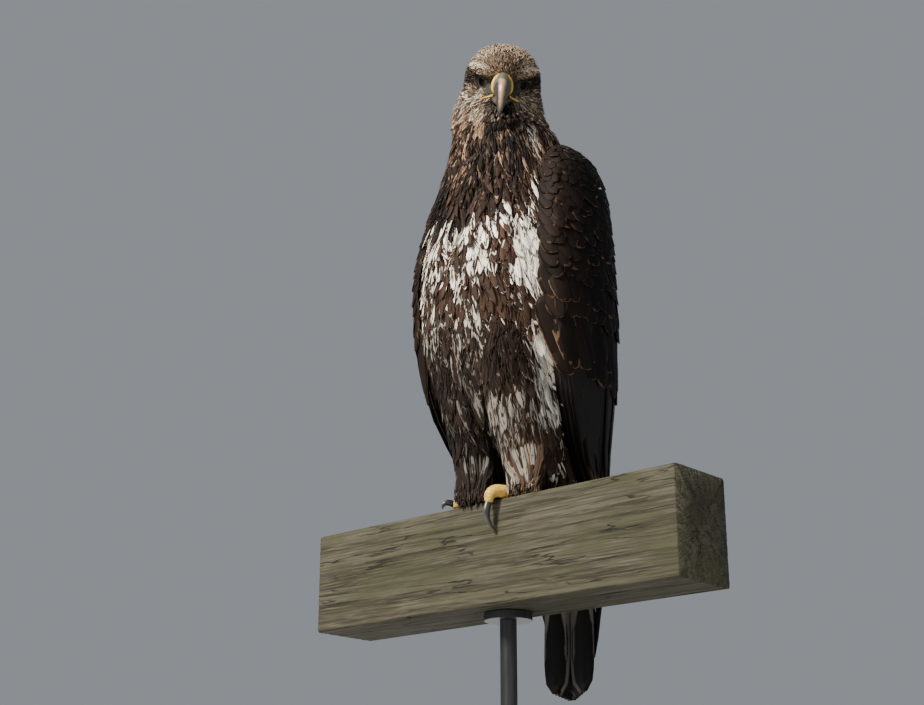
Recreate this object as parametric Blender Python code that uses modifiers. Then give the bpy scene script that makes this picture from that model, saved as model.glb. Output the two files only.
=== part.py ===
"""A young bald eagle, life size, perched upright on a short length of timber held by a display stand.

Metres, +Z up. The origin is the middle of the stand's underside, on the floor. The bird faces -Y, its left
side is at +X, and its head is turned to the left and down. Heights in the bird's tables are above the top
of the timber.
"""

import math

import bmesh
import bpy
import numpy as np
from mathutils import Matrix, Vector

# ---- driving dimensions --------------------------------------------------------------------------
BASE_X, BASE_Y, BASE_Z = 0.44, 0.38, 0.018
ROD_LENGTH, ROD_RADIUS = 0.300, 0.009
COLLAR_RADIUS, COLLAR_HEIGHT = 0.026, 0.008
BEAM_X, BEAM_Y, BEAM_Z = 0.50, 0.089, 0.114
GAP = 0.0003  # between pieces that touch
PERCH_TOP = BASE_Z + ROD_LENGTH + BEAM_Z + 2 * GAP

NECK_FOOT = 0.44  # height where trunk ends and neck begins
TAIL_ROOT = 0.0  # height where trunk ends and tail begins
TAIL_TIP = -0.198
WING_SPLIT = 0.12  # height where the arm with its coverts ends and the bare flight feathers begin
DEGREES_PER_METRE = 800.0  # a metre along the body's girth, as an angle about its middle
ROUNDNESS = 2.25  # superellipse exponent of the body's cross-sections

HEAD_YAW, HEAD_PITCH, HEAD_ROLL = 40.0, 30.0, 6.0  # degrees: to the left, down, left eye lower
EYES_MIDDLE = Vector((0.024, -0.029, 0.5075))  # halfway between the eyes, above the timber
HEAD_FOOT = -0.040  # height of the cut under the head, in the head's own frame
EYE_CENTRE, EYE_RADIUS = Vector((0.0178, 0.0045, -0.001)), 0.0108
BILL_RINGS, CERE_RINGS = 16, 6  # rings along the upper bill, and steps of them that the cere covers

FEET = {1: (0.044, 0.001), -1: (-0.031, 0.000)}  # middle of each foot on top of the timber
HIND_TURN = {1: 188.0, -1: 164.0}  # degrees of each foot's hind toe from straight ahead
TARSUS_FOOT = 0.0175

# height, front, back (along Y), half width: tail tip to the foot of the neck
BODY = (
    (-0.1980, 0.1045, 0.1095, 0.0130),
    (-0.1900, 0.1035, 0.1115, 0.0250),
    (-0.1720, 0.1020, 0.1140, 0.0335),
    (-0.1200, 0.1000, 0.1160, 0.0370),
    (-0.0700, 0.0930, 0.1180, 0.0375),
    (-0.0300, 0.0790, 0.1215, 0.0385),
    (0.0000, 0.0600, 0.1240, 0.0420),
    (0.0300, 0.0260, 0.1235, 0.0500),
    (0.0700, -0.0300, 0.1210, 0.0660),
    (0.1200, -0.0660, 0.1180, 0.0830),
    (0.1800, -0.0880, 0.1140, 0.0950),
    (0.2400, -0.0955, 0.1100, 0.0990),
    (0.3000, -0.0920, 0.1040, 0.0940),
    (0.3600, -0.0800, 0.0940, 0.0840),
    (0.4000, -0.0690, 0.0820, 0.0740),
    (0.4400, -0.0590, 0.0680, 0.0650),
)
# height, front edge and back edge (degrees round the body from its front), thickness of the folded left wing
WING = (
    (-0.1620, 126.0, 150.0, 0.0040),
    (-0.1400, 116.0, 156.0, 0.0060),
    (-0.1000, 106.0, 163.0, 0.0085),
    (-0.0500, 97.0, 168.0, 0.0105),
    (0.0000, 87.0, 171.0, 0.0120),
    (0.0500, 76.0, 173.0, 0.0130),
    (0.1000, 69.0, 174.0, 0.0145),
    (0.1600, 63.0, 174.0, 0.0160),
    (0.2200, 60.0, 173.0, 0.0180),
    (0.2800, 60.0, 170.0, 0.0210),
    (0.3250, 62.0, 162.0, 0.0260),
    (0.3600, 65.0, 151.0, 0.0310),
    (0.3850, 69.0, 140.0, 0.0330),
    (0.4030, 75.0, 128.0, 0.0300),
    (0.4140, 82.0, 116.0, 0.0210),
    (0.4200, 89.0, 107.0, 0.0100),
)
# height, front, back, half width, how far the face narrows to the bill: chin to crown, in the head's frame
HEAD = (
    (-0.0500, -0.0100, 0.0620, 0.0600, 0.25),
    (-0.0400, -0.0140, 0.0615, 0.0580, 0.40),
    (-0.0280, -0.0210, 0.0605, 0.0555, 0.60),
    (-0.0160, -0.0250, 0.0605, 0.0520, 0.72),
    (-0.0040, -0.0265, 0.0605, 0.0500, 0.74),
    (0.0080, -0.0270, 0.0600, 0.0480, 0.66),
    (0.0180, -0.0255, 0.0580, 0.0440, 0.50),
    (0.0280, -0.0215, 0.0535, 0.0375, 0.35),
    (0.0360, -0.0150, 0.0465, 0.0290, 0.25),
    (0.0410, -0.0070, 0.0385, 0.0195, 0.20),
    (0.0440, 0.0080, 0.0260, 0.0070, 0.10),
)
# along the head's Y and Z, half width, half height: the upper bill's middle line, from the face to the hook
UPPER_BILL = (
    (-0.0180, -0.0040, 0.0125, 0.0128),
    (-0.0300, -0.0030, 0.0120, 0.0128),
    (-0.0420, -0.0048, 0.0098, 0.0122),
    (-0.0530, -0.0105, 0.0077, 0.0104),
    (-0.0600, -0.0200, 0.0056, 0.0078),
    (-0.0622, -0.0310, 0.0034, 0.0045),
    (-0.0605, -0.0400, 0.0007, 0.0009),
)
LOWER_BILL = (
    (-0.0120, -0.0220, 0.0110, 0.0060),
    (-0.0280, -0.0222, 0.0098, 0.0056),
    (-0.0410, -0.0232, 0.0068, 0.0042),
    (-0.0490, -0.0245, 0.0032, 0.0020),
)
# height, X, Y, half width, half depth of the left leg's feathered part
THIGH = (
    (-0.0050, 0.0440, -0.0100, 0.0160, 0.0200),
    (0.0150, 0.0440, -0.0110, 0.0215, 0.0260),
    (0.0300, 0.0445, -0.0120, 0.0255, 0.0310),
    (0.0550, 0.0460, -0.0170, 0.0300, 0.0360),
    (0.0850, 0.0460, -0.0260, 0.0345, 0.0420),
    (0.1250, 0.0440, -0.0350, 0.0370, 0.0440),
    (0.1700, 0.0420, -0.0400, 0.0340, 0.0420),
    (0.2050, 0.0400, -0.0400, 0.0200, 0.0300),
)
# height, inward, forward, share of the left leg's girth: how the right leg differs from the left
RIGHT_LEG = (
    (-0.0050, 0.0160, 0.0060, 0.92),
    (0.0400, 0.0200, 0.0030, 0.90),
    (0.0800, 0.0220, 0.0000, 0.88),
    (0.1250, 0.0180, 0.0000, 0.90),
    (0.1700, 0.0100, 0.0000, 0.95),
    (0.2050, 0.0040, 0.0000, 1.00),
)
# height, degrees further forward, metres further out: how the right wing is held, unlike the left
RIGHT_WING = (
    (-0.1620, 0.0, 0.0000),
    (-0.1000, 0.0, 0.0040),
    (-0.0500, 0.0, 0.0110),
    (0.0000, 0.0, 0.0190),
    (0.0500, 2.0, 0.0240),
    (0.0900, 5.0, 0.0200),
    (0.1400, 8.0, 0.0080),
    (0.2000, 9.0, 0.0000),
    (0.3000, 6.0, 0.0000),
    (0.3600, 0.0, 0.0000),
    (0.4200, 0.0, 0.0000),
)
CLAW_REACH = 0.0130  # how far a claw that rests on the timber runs out past the end of its toe
# toe: turn from straight ahead in degrees, thickness factor
FRONT_TOES = {"inner": (-24.0, 1.05), "middle": (3.0, 1.0), "outer": (31.0, 0.92)}

TRUNK_SIDES, HEAD_SIDES, LIMB_SIDES, TOE_SIDES, BILL_SIDES = 28, 32, 14, 8, 10
TAIL_LEVELS = [TAIL_TIP, -0.194, -0.182, -0.155, -0.11, -0.07, -0.03, TAIL_ROOT - GAP]
TRUNK_LEVELS = [*np.linspace(TAIL_ROOT + GAP, NECK_FOOT - GAP, 15)]
FLIGHT_LEVELS = [-0.1615, -0.15, -0.13, -0.09, -0.05, -0.01, 0.03, 0.07, WING_SPLIT - GAP / 2]
WING_LEVELS = [WING_SPLIT + GAP / 2, *np.linspace(0.15, 0.345, 7), 0.373, 0.393, 0.408, 0.416, 0.4195]


# ---- tools ---------------------------------------------------------------------------------------
def flow(at, stations):
    """Values between stations, whose rows start with their place, on cubics with their own slopes."""
    table = np.array(stations, float)
    place, value = table[:, 0], table[:, 1:]
    slope = np.gradient(value, place, axis=0)
    at = np.atleast_1d(np.asarray(at, float))
    i = np.clip(np.searchsorted(place, at) - 1, 0, len(place) - 2)
    step = (place[i + 1] - place[i])[:, None]
    t = ((at - place[i])[:, None] / step).clip(0, 1)
    return (
        (1 + 2 * t) * (1 - t) ** 2 * value[i]
        + t * (1 - t) ** 2 * step * slope[i]
        + t * t * (3 - 2 * t) * value[i + 1]
        + t * t * (t - 1) * step * slope[i + 1]
    )


def power(x, exponent):
    """x raised to a power with its sign kept."""
    return np.sign(x) * np.abs(x) ** exponent


def body_points(height, degrees, out=0.0):
    """The body's surface at one height, at angles round it from the front towards its left, moved out."""
    front, back, half = flow(height, BODY)[0]
    angle = np.radians(degrees)
    middle, deep = (front + back) / 2, (back - front) / 2
    x = (half + out) * power(np.sin(angle), 2 / ROUNDNESS)
    y = middle - (deep + out) * power(np.cos(angle), 2 / ROUNDNESS)
    return np.stack([x, y, np.full_like(x, height + PERCH_TOP)], 1)


def head_points(height, degrees):
    """The head's surface in its own frame at one height.

    It is an egg narrowing to the bill. On each side the brow stands out, and socket and lore are pushed in.
    """
    front, back, half, narrow = flow(height, HEAD)[0]
    angle = np.radians(degrees)
    sine, cosine = np.sin(angle), np.cos(angle)
    x = half * sine * (1 - narrow * ((1 + cosine) / 2) ** 3)
    y = (front + back) / 2 - (back - front) / 2 * cosine
    side = np.sign(x) * np.minimum(1, np.abs(x) / 0.012)
    brow = 0.0042 * np.exp(-(((height - 0.0115) / 0.0055) ** 2) - ((y - 0.001) / 0.016) ** 2)
    socket = 0.0075 * np.exp(-(((height + 0.0015) / 0.0085) ** 2) - ((y + 0.0005) / 0.0115) ** 2)
    lore = 0.0025 * np.exp(-(((height + 0.004) / 0.008) ** 2) - ((y + 0.018) / 0.007) ** 2)
    inward = socket + lore - brow
    x, y = x - 0.75 * side * inward, y + 0.55 * np.abs(side) * inward
    return np.stack([x, y, np.full_like(x, height)], 1)


def head_frame():
    """Places the head's own frame, origin between the eyes and -Y out along the bill, in the world."""
    turns = [Matrix.Rotation(math.radians(a), 4, axis) for a, axis in
             ((HEAD_YAW, "Z"), (HEAD_PITCH, "X"), (HEAD_ROLL, "Y"))]
    return Matrix.Translation(EYES_MIDDLE + Vector((0, 0, PERCH_TOP))) @ turns[0] @ turns[1] @ turns[2]


def placed(points, matrix):
    m = np.array(matrix)
    return points @ m[:3, :3].T + m[:3, 3]


def loft(name, rings, collection, finish=None):
    """One closed solid of triangles through rings of equally many points, with a flat face at each end."""
    count, sides = len(rings), len(rings[0])
    mesh = bpy.data.meshes.new(name)
    faces = [tuple(range(sides))[::-1], tuple((count - 1) * sides + s for s in range(sides))]
    for low in range(0, (count - 1) * sides, sides):
        for s in range(sides):
            n = (s + 1) % sides
            faces.append((low + s, low + n, low + sides + n))
            faces.append((low + s, low + sides + n, low + sides + s))
    mesh.from_pydata(np.concatenate(rings).tolist(), [], faces)
    return adopt(name, mesh, collection, finish)


def adopt(name, mesh, collection, finish=None):
    """Makes the mesh an object of the collection, its faces pointing out and shaded smooth."""
    bm = bmesh.new()
    bm.from_mesh(mesh)
    bmesh.ops.recalc_face_normals(bm, faces=bm.faces)
    if bm.calc_volume(signed=True) < 0:
        bmesh.ops.reverse_faces(bm, faces=bm.faces)
    bm.to_mesh(mesh)
    bm.free()
    mesh.shade_smooth()
    mesh.set_sharp_from_angle(angle=math.radians(50))
    if finish:
        mesh.materials.append(finish)
    made = bpy.data.objects.new(name, mesh)
    collection.objects.link(made)
    return made


def sweep_rings(path, sides, flat=1.0, egg=0.0):
    """Rings square to a path in an upright plane, whose rows are X, Y, Z, half width and half height."""
    path = np.array(path, float)
    along = np.gradient(path[:, :3], axis=0)
    along /= np.linalg.norm(along, axis=1, keepdims=True)
    heading = path[-1, :3] - path[0, :3]
    side = np.cross(heading * (1, 1, 0), (0, 0, 1))
    side /= np.linalg.norm(side)
    angle = np.arange(sides) * 2 * math.pi / sides
    rings = []
    for row, forward in zip(path, along):
        up = np.cross(side, forward)
        across = row[3] * np.sin(angle) * (1 - egg * np.cos(angle))
        rise = row[4] * power(np.cos(angle), flat)
        rings.append(row[:3] + np.outer(across, side) + np.outer(rise, up))
    return rings


def smooth_path(rows, count):
    """A path's rows read at equal steps along a smooth curve through them."""
    rows = np.array(rows, float)
    length = np.concatenate([[0], np.cumsum(np.linalg.norm(np.diff(rows[:, :3], axis=0), axis=1))])
    return flow(np.linspace(0, length[-1], count), np.column_stack([length, rows]))


def hidden(made):
    """Takes an object out of the model, to be used by Booleans only."""
    made.hide_render = True
    made.display_type = "WIRE"
    return made


def cutter(name, rings, collection):
    return hidden(loft(name, rings, collection))


def boolean(made, other, operation="DIFFERENCE"):
    step = made.modifiers.new(f"{operation.lower()}_{other.name}", "BOOLEAN")
    step.operation = operation
    step.solver = "EXACT"
    step.object = other


def flat_cut(made, point, normal):
    """Cuts away what lies past a plane, on the side its normal points to, and closes the cut."""
    bm = bmesh.new()
    bm.from_mesh(made.data)
    cut = bmesh.ops.bisect_plane(
        bm, geom=bm.verts[:] + bm.edges[:] + bm.faces[:], plane_co=point, plane_no=normal, clear_outer=True
    )
    rim = [e for e in cut["geom_cut"] if isinstance(e, bmesh.types.BMEdge)]
    bmesh.ops.holes_fill(bm, edges=rim, sides=0)
    bm.to_mesh(made.data)
    bm.free()


def finish_of(name, colour, roughness, metallic=0.0):
    made = bpy.data.materials.new(name)
    made.use_nodes = True
    shader = made.node_tree.nodes["Principled BSDF"]
    shader.inputs["Base Color"].default_value = (*colour, 1)
    shader.inputs["Roughness"].default_value = roughness
    shader.inputs["Metallic"].default_value = metallic
    return made


# ---- stand and perch -----------------------------------------------------------------------------
def box(name, size, middle, bevel, collection, finish):
    mesh = bpy.data.meshes.new(name)
    bm = bmesh.new()
    bmesh.ops.create_cube(bm, size=1.0, matrix=Matrix.Translation(middle) @ Matrix.Diagonal((*size, 1)))
    bm.to_mesh(mesh)
    bm.free()
    made = adopt(name, mesh, collection, finish)
    edge = made.modifiers.new("soft_edges", "BEVEL")
    edge.width, edge.segments = bevel, 2
    return made


def rod(name, radius, foot, top, collection, finish):
    mesh = bpy.data.meshes.new(name)
    bm = bmesh.new()
    middle = Matrix.Translation((0, 0, (foot + top) / 2))
    bmesh.ops.create_cone(
        bm, cap_ends=True, segments=24, radius1=radius, radius2=radius, depth=top - foot, matrix=middle
    )
    bm.to_mesh(mesh)
    bm.free()
    return adopt(name, mesh, collection, finish)


def make_stand(parts, finishes):
    """Board, rod with a collar at each end, and the timber that the bird grips."""
    steel = finishes["stand_steel"]
    board, timber = finishes["stand_board"], finishes["timber"]
    box("stand_base", (BASE_X, BASE_Y, BASE_Z), (0, 0, BASE_Z / 2), 0.003, parts, board)
    foot, top = BASE_Z + GAP, BASE_Z + ROD_LENGTH + GAP
    rod("stand_collar_foot", COLLAR_RADIUS, foot, foot + COLLAR_HEIGHT, parts, steel)
    rod("stand_rod", ROD_RADIUS, foot + COLLAR_HEIGHT + GAP, top - COLLAR_HEIGHT - GAP, parts, steel)
    rod("stand_collar_top", COLLAR_RADIUS, top - COLLAR_HEIGHT, top, parts, steel)
    box("perch_beam", (BEAM_X, BEAM_Y, BEAM_Z), (0, 0, PERCH_TOP - BEAM_Z / 2), 0.003, parts, timber)


# ---- the body ------------------------------------------------------------------------------------
def around(sides):
    return np.arange(sides) * 360.0 / sides


def make_trunk(parts, finishes):
    """The trunk down to the vent, and the folded tail below it."""
    loft("trunk", [body_points(z, around(TRUNK_SIDES)) for z in TRUNK_LEVELS], parts, finishes["plumage"])
    loft("tail", [body_points(z, around(TRUNK_SIDES)) for z in TAIL_LEVELS], parts, finishes["tail"])


def body_room(cutters):
    """Trunk and tail in one, a little larger, to be cut from what lies against them."""
    rings = [body_points(z, around(TRUNK_SIDES), 1.5 * GAP) for z in TAIL_LEVELS + TRUNK_LEVELS]
    return cutter("body_room", rings, cutters)


def make_head(parts, finishes):
    levels = [HEAD_FOOT, -0.030, -0.021, -0.014, -0.008, -0.003, 0.002, 0.007, 0.012, 0.018, 0.025, 0.032,
              0.038, 0.042, 0.0438]
    frame = head_frame()
    rings = [placed(head_points(z, around(HEAD_SIDES)), frame) for z in levels]
    return loft("head", rings, parts, finishes["head"])


def make_neck(parts, finishes):
    """Joins the trunk's top ring to the head's foot ring, point for point by compass bearing."""
    bearing = around(HEAD_SIDES)
    frame = head_frame()
    low = body_points(NECK_FOOT + GAP, bearing)
    low_slope = (low - body_points(NECK_FOOT - 0.02, bearing)) / 0.02
    high = placed(head_points(HEAD_FOOT - GAP, bearing - HEAD_YAW), frame)
    high_slope = (high - placed(head_points(HEAD_FOOT - 0.01, bearing - HEAD_YAW), frame)) / 0.01
    reach = np.linalg.norm(high - low, axis=1, keepdims=True)
    rings = []
    for t in np.linspace(0, 1, 6):
        rings.append(
            (1 + 2 * t) * (1 - t) ** 2 * low + t * (1 - t) ** 2 * reach * low_slope
            + t * t * (3 - 2 * t) * high + t * t * (t - 1) * reach * high_slope
        )
    return loft("neck", rings, parts, finishes["plumage"])


def wing_ring(height, side, grow=0.0):
    """A crescent: along the wing's outer face from its front edge, and back inside the trunk."""
    front, back, thick = flow(height, WING)[0] + np.array([-1, 1, 0]) * grow * DEGREES_PER_METRE
    forward, out = flow(height, RIGHT_WING)[0] if side < 0 else (0, 0)
    share = np.linspace(0, 1, 10)
    swell = 0.0025 + thick * (4 * share * (1 - share)) ** 0.45
    outer = body_points(height, front - forward + (back - front + forward) * share)
    middle = np.array([0, sum(flow(height, BODY)[0][:2]) / 2, height + PERCH_TOP])
    away = (outer - middle) / np.linalg.norm(outer - middle, axis=1, keepdims=True)
    inner = outer[::-3] - away[::-3] * min(0.004, 0.3 * abs(outer[-1, 0]))
    ring = np.concatenate([outer + away * (swell + grow)[:, None], inner]) + (out, 0, 0)
    return ring * (side, 1, 1)


def make_wing(side, parts, finishes, room):
    name = {1: "left", -1: "right"}[side]
    for part, levels, finish in (("flight", FLIGHT_LEVELS, "flight"), ("wing", WING_LEVELS, "plumage")):
        made = loft(f"{part}_{name}", [wing_ring(z, side) for z in levels], parts, finishes[finish])
        boolean(made, room)


# ---- bill and eyes -------------------------------------------------------------------------------
def bill_rings(table, count, grow=0.0):
    """Rings evenly spaced along a bill's middle line."""
    rows = [(0, y, z, wide + grow, high + grow) for y, z, wide, high in table]
    rings = sweep_rings(smooth_path(rows, 1 + 4 * (count - 1)), BILL_SIDES, flat=0.9, egg=0.14)
    return [placed(ring, head_frame()) for ring in rings[::4]]


def make_bill(parts, cutters, finishes, head):
    """Cere, hooked upper bill and lower bill. The head is hollowed to take their roots."""
    upper_socket = cutter("upper_socket", bill_rings(UPPER_BILL, BILL_RINGS, GAP), cutters)
    lower_socket = cutter("lower_socket", bill_rings(LOWER_BILL, 7, GAP), cutters)
    boolean(head, upper_socket)
    boolean(head, lower_socket)
    upper = bill_rings(UPPER_BILL, BILL_RINGS)
    last, after = upper[CERE_RINGS], upper[CERE_RINGS + 1]
    seam = last + (after.mean(0) - last.mean(0)) * 0.1
    loft("cere", upper[:CERE_RINGS + 1], parts, finishes["cere"])
    loft("bill_upper", [seam, *upper[CERE_RINGS + 1:]], parts, finishes["horn"])
    lower = loft("bill_lower", bill_rings(LOWER_BILL, 7), parts, finishes["horn"])
    boolean(lower, upper_socket)


def eyeball(name, side, radius, collection, finish=None):
    mesh = bpy.data.meshes.new(name)
    bm = bmesh.new()
    place = head_frame() @ Matrix.Translation((side * EYE_CENTRE.x, EYE_CENTRE.y, EYE_CENTRE.z))
    bmesh.ops.create_uvsphere(bm, u_segments=14, v_segments=9, radius=radius, matrix=place)
    bm.to_mesh(mesh)
    bm.free()
    return adopt(name, mesh, collection, finish)


def make_eyes(parts, cutters, finishes, head):
    for side, name in ((1, "left"), (-1, "right")):
        boolean(head, hidden(eyeball(f"socket_{name}", side, EYE_RADIUS + 2 * GAP, cutters)))
        eyeball(f"eye_{name}", side, EYE_RADIUS, parts, finishes["eye"])


# ---- legs ----------------------------------------------------------------------------------------
def thigh_ring(height, side):
    x, y, wide, deep = flow(height, THIGH)[0]
    if side < 0:
        inward, forward, girth = flow(height, RIGHT_LEG)[0]
        x, y, wide, deep = x - inward, y - forward, wide * girth, deep * girth
    angle = np.radians(around(LIMB_SIDES))
    level = np.full_like(angle, height + PERCH_TOP)
    return np.stack([side * (x + wide * np.sin(angle)), y - deep * np.cos(angle), level], 1)


def hem(shift=0.0):
    """The slanting plane where a leg's feathers end, low in front and higher behind the shank."""
    return Vector((0, -0.045, PERCH_TOP + 0.0164 + shift)), Vector((0, 0.29, -0.957)).normalized()


def make_leg(side, parts, cutters, finishes, room):
    name = {1: "left", -1: "right"}[side]
    levels = [-0.005, 0.015, 0.035, 0.06, 0.09, 0.13, 0.16, 0.185, 0.205]
    thigh = loft(f"thigh_{name}", [thigh_ring(z, side) for z in levels], parts, finishes["plumage"])
    flat_cut(thigh, *hem())
    boolean(thigh, room)
    wing_room = [wing_ring(z, side, 1.5 * GAP) for z in FLIGHT_LEVELS + WING_LEVELS]
    boolean(thigh, cutter(f"wing_room_{name}", wing_room, cutters))

    foot_at = np.array([*FEET[side], PERCH_TOP])
    shank = [(*(foot_at + (0, 0, TARSUS_FOOT)), 0.0086, 0.0086),
             (*(foot_at + (0, 0.006, 0.045)), 0.0080, 0.0086),
             (*(foot_at + (0, 0.012, 0.075)), 0.0078, 0.0086)]
    tarsus = loft(f"tarsus_{name}", sweep_rings(smooth_path(shank, 5), 12), parts, finishes["skin"])
    point, normal = hem(-GAP)
    flat_cut(tarsus, point, -normal)
    flat_cut(tarsus, Vector((0, 0, PERCH_TOP + TARSUS_FOOT + GAP)), Vector((0, 0, -1)))
    make_foot(side, name, foot_at, parts, cutters, finishes)


def toe_path(side, foot_at, turn, rows):
    """Turns rows of (distance out from the foot, height, radius) into a path in the toe's own direction."""
    way = np.array([side * math.sin(math.radians(turn)), -math.cos(math.radians(turn)), 0])
    return [(*(foot_at + way * out + (0, 0, up)), thick, thick) for out, up, thick in rows]


def make_foot(side, name, foot_at, parts, cutters, finishes):
    """Three toes in front and one behind, with claws. Only the left inner toe passes the edge."""
    palm_mesh = bpy.data.meshes.new(f"foot_{name}")
    bm = bmesh.new()
    shape = Matrix.Translation(foot_at + (0, 0, 0.0108)) @ Matrix.Diagonal((0.0130, 0.0150, 0.0102, 1))
    bmesh.ops.create_uvsphere(bm, u_segments=10, v_segments=6, radius=1.0, matrix=shape)
    bm.to_mesh(palm_mesh)
    bm.free()
    foot = adopt(f"foot_{name}", palm_mesh, parts, finishes["skin"])
    flat_cut(foot, Vector((0, 0, PERCH_TOP + TARSUS_FOOT)), Vector((0, 0, 1)))
    for toe, (turn, fat) in FRONT_TOES.items():
        edge = (foot_at[1] + BEAM_Y / 2) / math.cos(math.radians(turn))
        over = edge + 0.0005
        tip = edge - CLAW_REACH
        if (side, toe) == (1, "inner"):
            rows = [(0.000, 0.0096, 0.0070), (0.35 * edge, 0.0084, 0.0066),
                    (0.72 * edge, 0.0080, 0.0070 * fat), (over + 0.001, 0.0082, 0.0066 * fat),
                    (over + 0.0080, 0.0030, 0.0060 * fat), (over + 0.0098, -0.0070, 0.0050 * fat)]
            claw = [(over + 0.0096, -0.0055, 0.0043), (over + 0.0118, -0.0150, 0.0041),
                    (over + 0.0110, -0.0230, 0.0031), (over + 0.0070, -0.0300, 0.0018),
                    (over + 0.0030, -0.0335, 0.0004)]
        else:
            rows = [(0.000, 0.0096, 0.0070), (0.40 * tip, 0.0084, 0.0066 * fat),
                    (0.75 * tip, 0.0080, 0.0070 * fat), (tip, 0.0072, 0.0056 * fat)]
            claw = [(tip - 0.0015, 0.0078, 0.0042), (tip + 0.0045, 0.0092, 0.0038),
                    (tip + 0.0088, 0.0074, 0.0028), (tip + 0.0106, 0.0042, 0.0016),
                    (tip + 0.0110, 0.0014, 0.0004)]
        add_toe(side, name, toe, turn, foot_at, rows, claw, foot, parts, cutters, finishes)
    rows = [(0.000, 0.0096, 0.0070), (0.012, 0.0086, 0.0068), (0.024, 0.0082, 0.0072),
            (0.036, 0.0086, 0.0056)]
    claw = [(0.0335, 0.0084, 0.0044), (0.0440, 0.0115, 0.0044), (0.0530, 0.0100, 0.0036),
            (0.0580, 0.0000, 0.0021), (0.0575, -0.0090, 0.0004)]
    add_toe(side, name, "hind", HIND_TURN[side], foot_at, rows, claw, foot, parts, cutters, finishes)


def add_toe(side, name, toe, turn, foot_at, rows, claw, foot, parts, cutters, finishes):
    rings = sweep_rings(smooth_path(toe_path(side, foot_at, turn, rows), 7), TOE_SIDES)
    boolean(foot, cutter(f"toe_{name}_{toe}", rings, cutters), "UNION")
    horn = smooth_path(toe_path(side, foot_at, turn, claw), 7)
    loft(f"claw_{name}_{toe}", sweep_rings(horn, 6), parts, finishes["claw"])
    room = sweep_rings(horn + (0, 0, 0, 1.4 * GAP, 1.4 * GAP), 6)[:4]
    room[0] = room[0] - (room[1].mean(0) - room[0].mean(0)) * 0.1
    boolean(foot, cutter(f"claw_room_{name}_{toe}", room, cutters))


# ---- build ---------------------------------------------------------------------------------------
def main():
    for old in list(bpy.data.objects):
        bpy.data.objects.remove(old)
    parts = bpy.data.collections.new("young_bald_eagle")
    cutters = bpy.data.collections.new("cutters")
    bpy.context.scene.collection.children.link(parts)
    bpy.context.scene.collection.children.link(cutters)
    finishes = {
        "plumage": finish_of("plumage", (0.16, 0.10, 0.06), 0.85),
        "head": finish_of("head", (0.42, 0.33, 0.24), 0.85),
        "flight": finish_of("flight", (0.05, 0.036, 0.026), 0.6),
        "tail": finish_of("tail", (0.07, 0.055, 0.045), 0.6),
        "horn": finish_of("horn", (0.10, 0.09, 0.08), 0.35),
        "cere": finish_of("cere", (0.62, 0.44, 0.10), 0.45),
        "skin": finish_of("skin", (0.75, 0.50, 0.06), 0.5),
        "claw": finish_of("claw", (0.02, 0.02, 0.022), 0.25),
        "eye": finish_of("eye", (0.10, 0.08, 0.06), 0.05),
        "timber": finish_of("timber", (0.30, 0.28, 0.19), 0.9),
        "stand_board": finish_of("stand_board", (0.02, 0.02, 0.021), 0.45),
        "stand_steel": finish_of("stand_steel", (0.03, 0.03, 0.032), 0.35, 0.7),
    }
    make_stand(parts, finishes)
    make_trunk(parts, finishes)
    make_neck(parts, finishes)
    head = make_head(parts, finishes)
    make_bill(parts, cutters, finishes, head)
    make_eyes(parts, cutters, finishes, head)
    room = body_room(cutters)
    for side in (1, -1):
        make_wing(side, parts, finishes, room)
        make_leg(side, parts, cutters, finishes, room)


main()
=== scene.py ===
# %% [markdown]
# A young bald eagle, life size, looks down from a short length of timber on a display stand. The solids of
# the model give its outline out to the feather tips. This script dresses them: one skin a few millimetres
# inside the outline, feathers of many kinds laid over it from bill to tail, a horn bill, glassy eyes, scaly
# feet, weathered timber and a satin stand. Everything is in metres, with +Z up and the bird facing -Y.

import math

import bmesh
import bpy
import numpy as np
from mathutils import Matrix, Vector
from mathutils.bvhtree import BVHTree


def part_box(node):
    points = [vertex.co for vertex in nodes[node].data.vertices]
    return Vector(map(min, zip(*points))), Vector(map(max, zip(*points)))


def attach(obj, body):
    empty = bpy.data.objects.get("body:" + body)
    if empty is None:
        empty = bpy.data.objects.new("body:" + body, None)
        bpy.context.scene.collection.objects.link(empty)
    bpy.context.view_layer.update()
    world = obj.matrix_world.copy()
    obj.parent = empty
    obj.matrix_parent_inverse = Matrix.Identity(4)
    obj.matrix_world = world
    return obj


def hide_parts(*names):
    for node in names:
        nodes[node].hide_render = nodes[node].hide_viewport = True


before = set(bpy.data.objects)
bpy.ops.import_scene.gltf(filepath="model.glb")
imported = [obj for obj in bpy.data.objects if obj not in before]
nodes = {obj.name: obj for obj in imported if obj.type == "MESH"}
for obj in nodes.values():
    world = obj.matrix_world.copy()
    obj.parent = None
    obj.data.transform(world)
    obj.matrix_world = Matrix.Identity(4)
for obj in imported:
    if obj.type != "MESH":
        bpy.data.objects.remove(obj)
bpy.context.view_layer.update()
SIDES = {1: "left", -1: "right"}

# %% [markdown]
# Two places carry all the others: the top of the timber, from which heights on the bird are told, and the
# head's own frame. The head is turned 40 degrees to the bird's left, bowed 30 and tilted 6. Its origin is
# found from the two eyeballs, its -Y runs out along the bill, and its +X points to the bird's left.

# %% Perch height and the head's frame
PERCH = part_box("perch_beam")[1].z
EYE_IN_HEAD = np.array([0.0178, 0.0045, -0.001])
UP = np.array([0, 0, 1.0])


def middle_of(node):
    low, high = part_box(node)
    return np.array((low + high) / 2)


def turn(degrees, axis):
    return np.array(Matrix.Rotation(math.radians(degrees), 3, axis))


EYES = {side: middle_of("eye_" + word) for side, word in SIDES.items()}
HEAD_TURN = turn(40, "Z") @ turn(30, "X") @ turn(6, "Y")
HEAD_AT = (EYES[1] + EYES[-1]) / 2 - HEAD_TURN @ (EYE_IN_HEAD * (0, 1, 1))


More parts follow.
